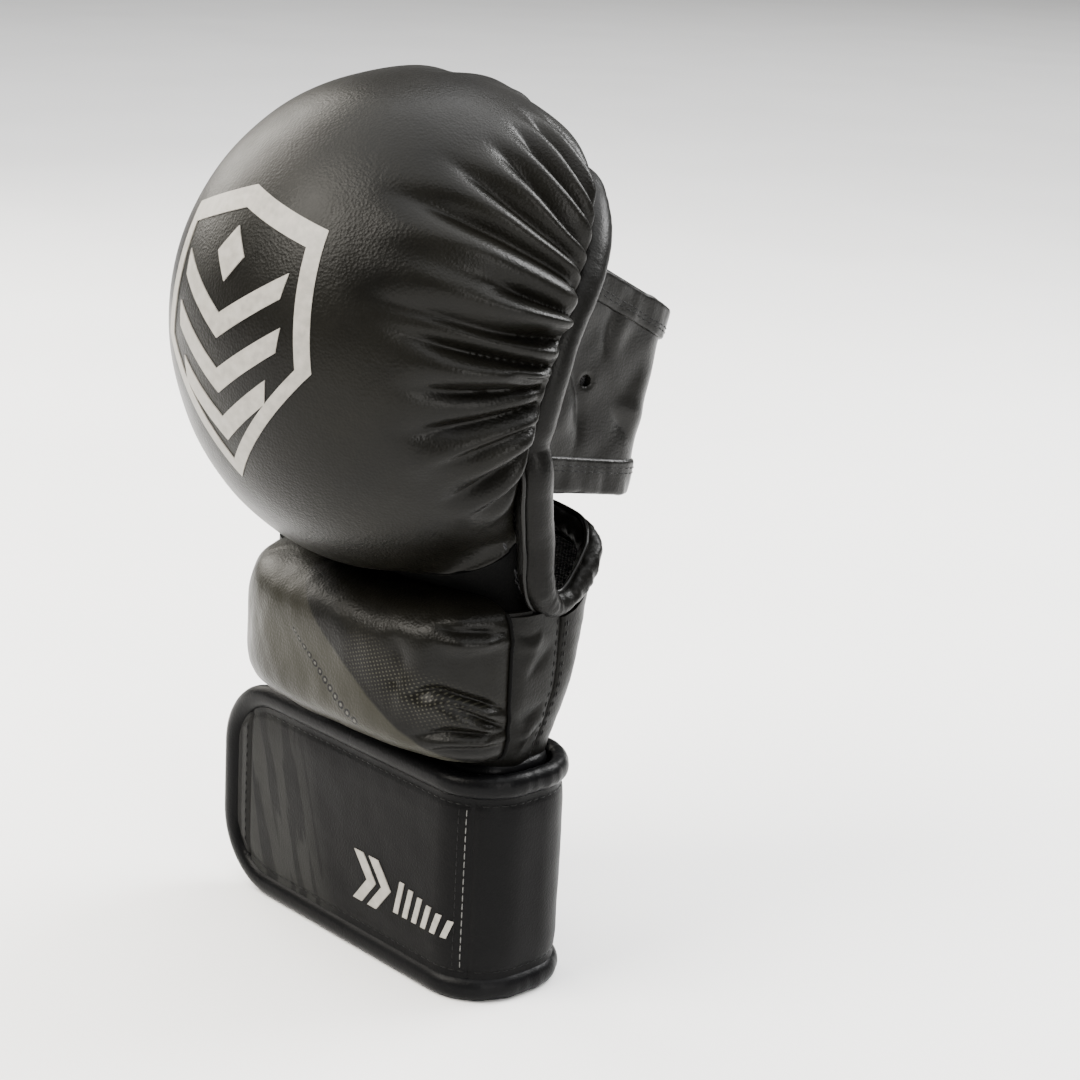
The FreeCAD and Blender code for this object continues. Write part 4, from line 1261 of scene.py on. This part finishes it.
def build_tab():
    """The strap's rounded tab: face with a stitched end panel, one rolled edge round it, stitches."""
    inset = CUFF_ROLL - 0.9
    rows, cols = int(64 * FINE), int(90 * FINE)
    u = np.linspace(0, 1, cols)[None]
    tip = TAB_TIP + inset
    x = tip + 0.02 + (SPLIT_X - tip - 0.02) * (1 - np.cos(u * math.pi / 2)) ** 0.9
    f = np.linspace(-1, 1, rows)[:, None]
    half = tab_height(x, inset)
    z = CUFF_HEIGHT / 2 + f * half
    to_edge = np.minimum((1 - np.abs(f)) * half, x - tip)
    p = np.stack([x + 0 * z, -CUFF_HALF_DEPTH - face_puff(to_edge), z], -1)
    p[..., 1] -= face_grain(p)
    end_panel = smooth(END_PANEL_X - x) * smooth(to_edge / 4)
    p[..., 1] += 0.6 * bell((x - END_PANEL_X) / 0.6) - 0.5 * end_panel
    n = np.broadcast_to(np.array([0, -1.0, 0]), p.shape)
    tab = make("strap_tab", slab(p, FACE_THICK, normals=n), "print", None, ("tab_face", "tab_foam"))
    blend_tab(tab)
    path = tab_roll_line()
    roll = make("strap_tab_roll", tube(path, STRAP_ROLL, (0, -1, 0), 22, 0.8), "edge", None, ("tab_edge",))
    blend_tab(roll)
    for k, row in enumerate(STITCH_ROWS):
        line = p[row][x[0] > -44]
        blend_tab(stitches("strap_tab_stitch_%d" % (k + 1), line, (0, -1, 0), None, STRAP_STITCH))
    col = int(np.argmin(np.abs(x[0] - (END_PANEL_X - 1.2))))
    blend_tab(stitches("strap_tab_end_stitch", p[5:-5, col], (0, -1, 0), None, END_STITCH))


def ring_slab(name, inset, low, high, thickness, material):
    """A closed band of the sleeve, inset from the strap's plan. It also gives back its outline."""
    cols, rows = 300, 40
    w, d, c = CUFF_HALF_WIDTH - inset, CUFF_HALF_DEPTH - inset, CUFF_CORNER - inset
    outline = []
    for k, (sx, sy) in enumerate(((1, 1), (-1, 1), (-1, -1), (1, -1))):
        a = np.linspace(k * math.pi / 2, (k + 1) * math.pi / 2, 40)
        outline.append(np.stack([sx * (w - c) + c * np.cos(a), sy * (d - c) + c * np.sin(a), 0 * a], 1))
    outline = np.concatenate(outline + [outline[0][:1]])
    flat = even(outline, cols, True)
    z = np.linspace(low, high, rows)[:, None]
    p = np.stack([flat[None, :, 0] + 0 * z, flat[None, :, 1] + 0 * z, z + 0 * flat[None, :, 0]], -1)
    n = grid_normals(p, True)
    edge = np.minimum(z - low, high - z)
    p = p + n * (0.15 * wobble(p, 20, 111, 2) - round_edge(edge, 0.8))[..., None]
    make(name, slab(p, thickness, True, normals=n), material, "cuff", (name,))
    return flat


def build_sleeve():
    """The sleeve under the strap, its lining and its two rolled edges."""
    ring_slab("wrist_sleeve", 5.8, 3.0, 64.0, 2.0, "panel")
    flat = ring_slab("wrist_sleeve_lining", 8.1, 3.5, 63.0, LINING, "lining")
    for name, z, radius in (("sleeve_top_roll", 65.6, 2.6), ("sleeve_bottom_roll", 3.0, 2.2)):
        path = flat + unit(flat) + np.array([0, 0, z])
        out = unit(path * np.array([1, 1, 0]))
        make(name, tube(path, radius, out, 14, 0.9, True), "edge", "cuff")


# --- printed marks ------------------------------------------------------------------------------------
def mark(edges, place, thickness, cell=1.5):
    """A flat printed shape, a strip of quads between two edges, laid on a surface by place(a, b, lift)."""
    edges = [np.pad(np.array(e, float), ((0, 0), (0, 1))) for e in edges]
    length = max(np.linalg.norm(np.diff(e, axis=0), axis=1).sum() for e in edges)
    rows = max(int(length / cell), 2)
    left, right = (even(e, rows)[:, :2] for e in edges)
    cols = max(int(np.linalg.norm(left - right, axis=1).max() / cell), 2)
    t = np.linspace(0, 1, cols)[None, :, None]
    a, b = np.moveaxis(left[:, None] * (1 - t) + right[:, None] * t, -1, 0)
    top, low = place(a, b, thickness), place(a, b, -0.3)
    q = quads(rows, cols)
    count = rows * cols
    index = np.arange(count).reshape(rows, cols)
    ring = np.concatenate([index[0], index[1:, -1], index[-1, -2::-1], index[-2:0:-1, 0]])
    walls = np.stack([ring, np.roll(ring, -1), np.roll(ring, -1) + count, ring + count], 1)
    points = np.concatenate([top.reshape(-1, 3), low.reshape(-1, 3)])
    return points, np.concatenate([q[:, ::-1], q + count, walls]).tolist()


def join(parts):
    """One shape from several."""
    points, faces, base = [], [], 0
    for p, f in parts:
        points.append(p)
        faces += [[v + base for v in face] for face in f]
        base += len(p)
    return np.concatenate(points), faces


def on_cover(x, height, lift):
    """A point of the dome's cover in front of x and a height above the dome's centre, lifted off it."""
    dx, dz = x / DOME_RADII[0], height / DOME_RADII[2]
    dy = -np.sqrt(np.maximum(1 - dx**2 - dz**2, 0))
    d = np.stack([dx, dy, dz], -1)
    p = DOME_CENTRE + d * DOME_RADII
    return p + unit(d / DOME_RADII) * (cover_swell(p) + lift)[..., None]


def on_strap(s, z, lift):
    """A point of the strap's face, lifted off it. s runs along the strap's plan."""
    xy, n = plan(s)
    z = z[..., None]
    grow = face_puff(to_strap_edge(z)) + face_grain(np.concatenate([xy, z], -1))[..., None] + lift + 0.05
    return np.concatenate([xy + n * grow, z], -1)


def build_emblem():
    """A plain shield: a six-sided border, three chevrons and a diamond."""
    border = np.array([(0, 41), (27, 33), (30.5, -2), (0, -35.5), (-30.5, -2), (-27, 33), (0, 41)], float)
    inner = border * 0.86 + np.array([0, 0.2])
    shapes = [(border[k : k + 2], inner[k : k + 2]) for k in range(6)]
    for top, wide, drop in ((22.0, 21.0, 13.0), (8.5, 21.5, 14.0), (-5.5, 17.5, 13.0)):
        for sign in (-1, 1):
            upper = [(sign * wide, top), (0, top - drop)]
            lower = [(sign * wide * 0.96, top - BAR), (0, top - drop - BAR)]
            shapes.append((upper, lower))
    shapes.append(([(-5.5, 24), (0, 31)], [(0, 17), (5.5, 24)]))
    parts = [mark(edges, on_cover, 0.3) for edges in shapes]
    make("dome_emblem_print", join(parts), "silver", "knuckle_pad", ("dome_emblem",))


def build_strap_mark():
    """A plain printed mark on the strap: two tall chevrons and a row of slanted bars."""
    shapes = []
    for x in (1.0, 7.5):
        shapes.append([[(x + dx, 31), (x + dx + 6, 23.5), (x + dx, 16)] for dx in (0, 4)])
    for k in range(6):
        x, top = 19.0 + 3.9 * k, 28.0 - 0.9 * k
        shapes.append([[(x + dx, 18), (x + dx + 2.2, top)] for dx in (0, 1.9)])
    parts = [mark(edges, on_strap, 0.25, 1.0) for edges in shapes]
    blend_flap(make("strap_print", join(parts), "silver"))


def finish_cad_nodes():
    """The hook-and-loop fields and the anchor patch are shown as they are designed."""
    for name in ("loop_field", "strap_anchor_patch", "flap_hook_field", "tab_hook_field"):
        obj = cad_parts[name]
        obj.data.materials.clear()
        obj.data.materials.append(MAT["hook"])


# --- camera, light, floor -----------------------------------------------------------------------------
def camera():
    """The camera stands in front of the little-finger side, a little above, turned and rolled as named."""
    right = np.array([math.cos(AZIMUTH), math.sin(AZIMUTH), 0])
    ahead = np.array([-math.sin(AZIMUTH) * math.cos(ELEVATION), math.cos(AZIMUTH) * math.cos(ELEVATION),
                      -math.sin(ELEVATION)])
    up = np.cross(right, ahead)
    side = math.cos(TILT) * right + math.sin(TILT) * up
    top = -math.sin(TILT) * right + math.cos(TILT) * up
    data = bpy.data.cameras.new("camera")
    data.lens, data.sensor_width = 78.33, 36.0
    data.shift_x, data.shift_y = 0.109, -0.055
    data.clip_start = 0.01
    obj = bpy.data.objects.new("camera", data)
    place = Matrix([list(side), list(top), list(-ahead)]).transposed().to_4x4()
    place.translation = Vector(((CAMERA_AIM - CAMERA_DISTANCE * ahead) * MM).tolist())
    obj.matrix_world = place
    scene.collection.objects.link(obj)
    scene.camera = obj


def area_light(name, place, aim, size, power, colour=(1, 1, 1)):
    data = bpy.data.lights.new(name, "AREA")
    data.shape = "RECTANGLE"
    data.size, data.size_y = size
    data.energy = power
    data.color = colour
    obj = bpy.data.objects.new(name, data)
    obj.location = place
    obj.rotation_euler = (Vector(aim) - Vector(place)).to_track_quat("-Z", "Y").to_euler()
    scene.collection.objects.link(obj)


def studio():
    """World, floor and lights."""
    world = bpy.data.worlds.new("studio")
    world.use_nodes = True
    world.node_tree.nodes["Background"].inputs["Color"].default_value = (1.0, 0.985, 0.96, 1)
    world.node_tree.nodes["Background"].inputs["Strength"].default_value = 0.3
    scene.world = world
    mesh = bpy.data.meshes.new("floor")
    mesh.from_pydata([(-6, -6, 0), (6, -6, 0), (6, 6, 0), (-6, 6, 0)], [], [(0, 1, 2, 3)])
    floor = bpy.data.objects.new("floor", mesh)
    floor.data.materials.append(flat_finish("floor", (0.8, 0.8, 0.8), (0.82, 0.82, 0.82), 0.7, 5, 0.0))
    scene.collection.objects.link(floor)
    aim = (0, 0, 0.13)
    area_light("key", (-0.25, -0.85, 1.0), aim, (0.75, 0.75), 42, (1, 0.955, 0.87))
    area_light("left", (-1.1, -0.1, 0.75), aim, (0.9, 0.9), 25, (1, 0.955, 0.87))
    area_light("side", (0.95, -0.25, 0.40), aim, (0.2, 0.6), 7, (1, 0.98, 0.95))
    area_light("back", (0.2, 1.0, 0.9), aim, (0.7, 0.4), 26)
    area_light("overhead", (0.3, 1.0, 3.4), (0.3, 1.0, 0), (5.0, 5.0), 380)


camera()
studio()
build_dome()
build_rim()
build_neck()
build_liner()
build_band()
build_dividers()
build_palm()
build_sides()
build_thumb_roll()
build_cushion()
build_wrap()
build_flap()
build_tab()
build_sleeve()
build_emblem()
build_strap_mark()
finish_cad_nodes()
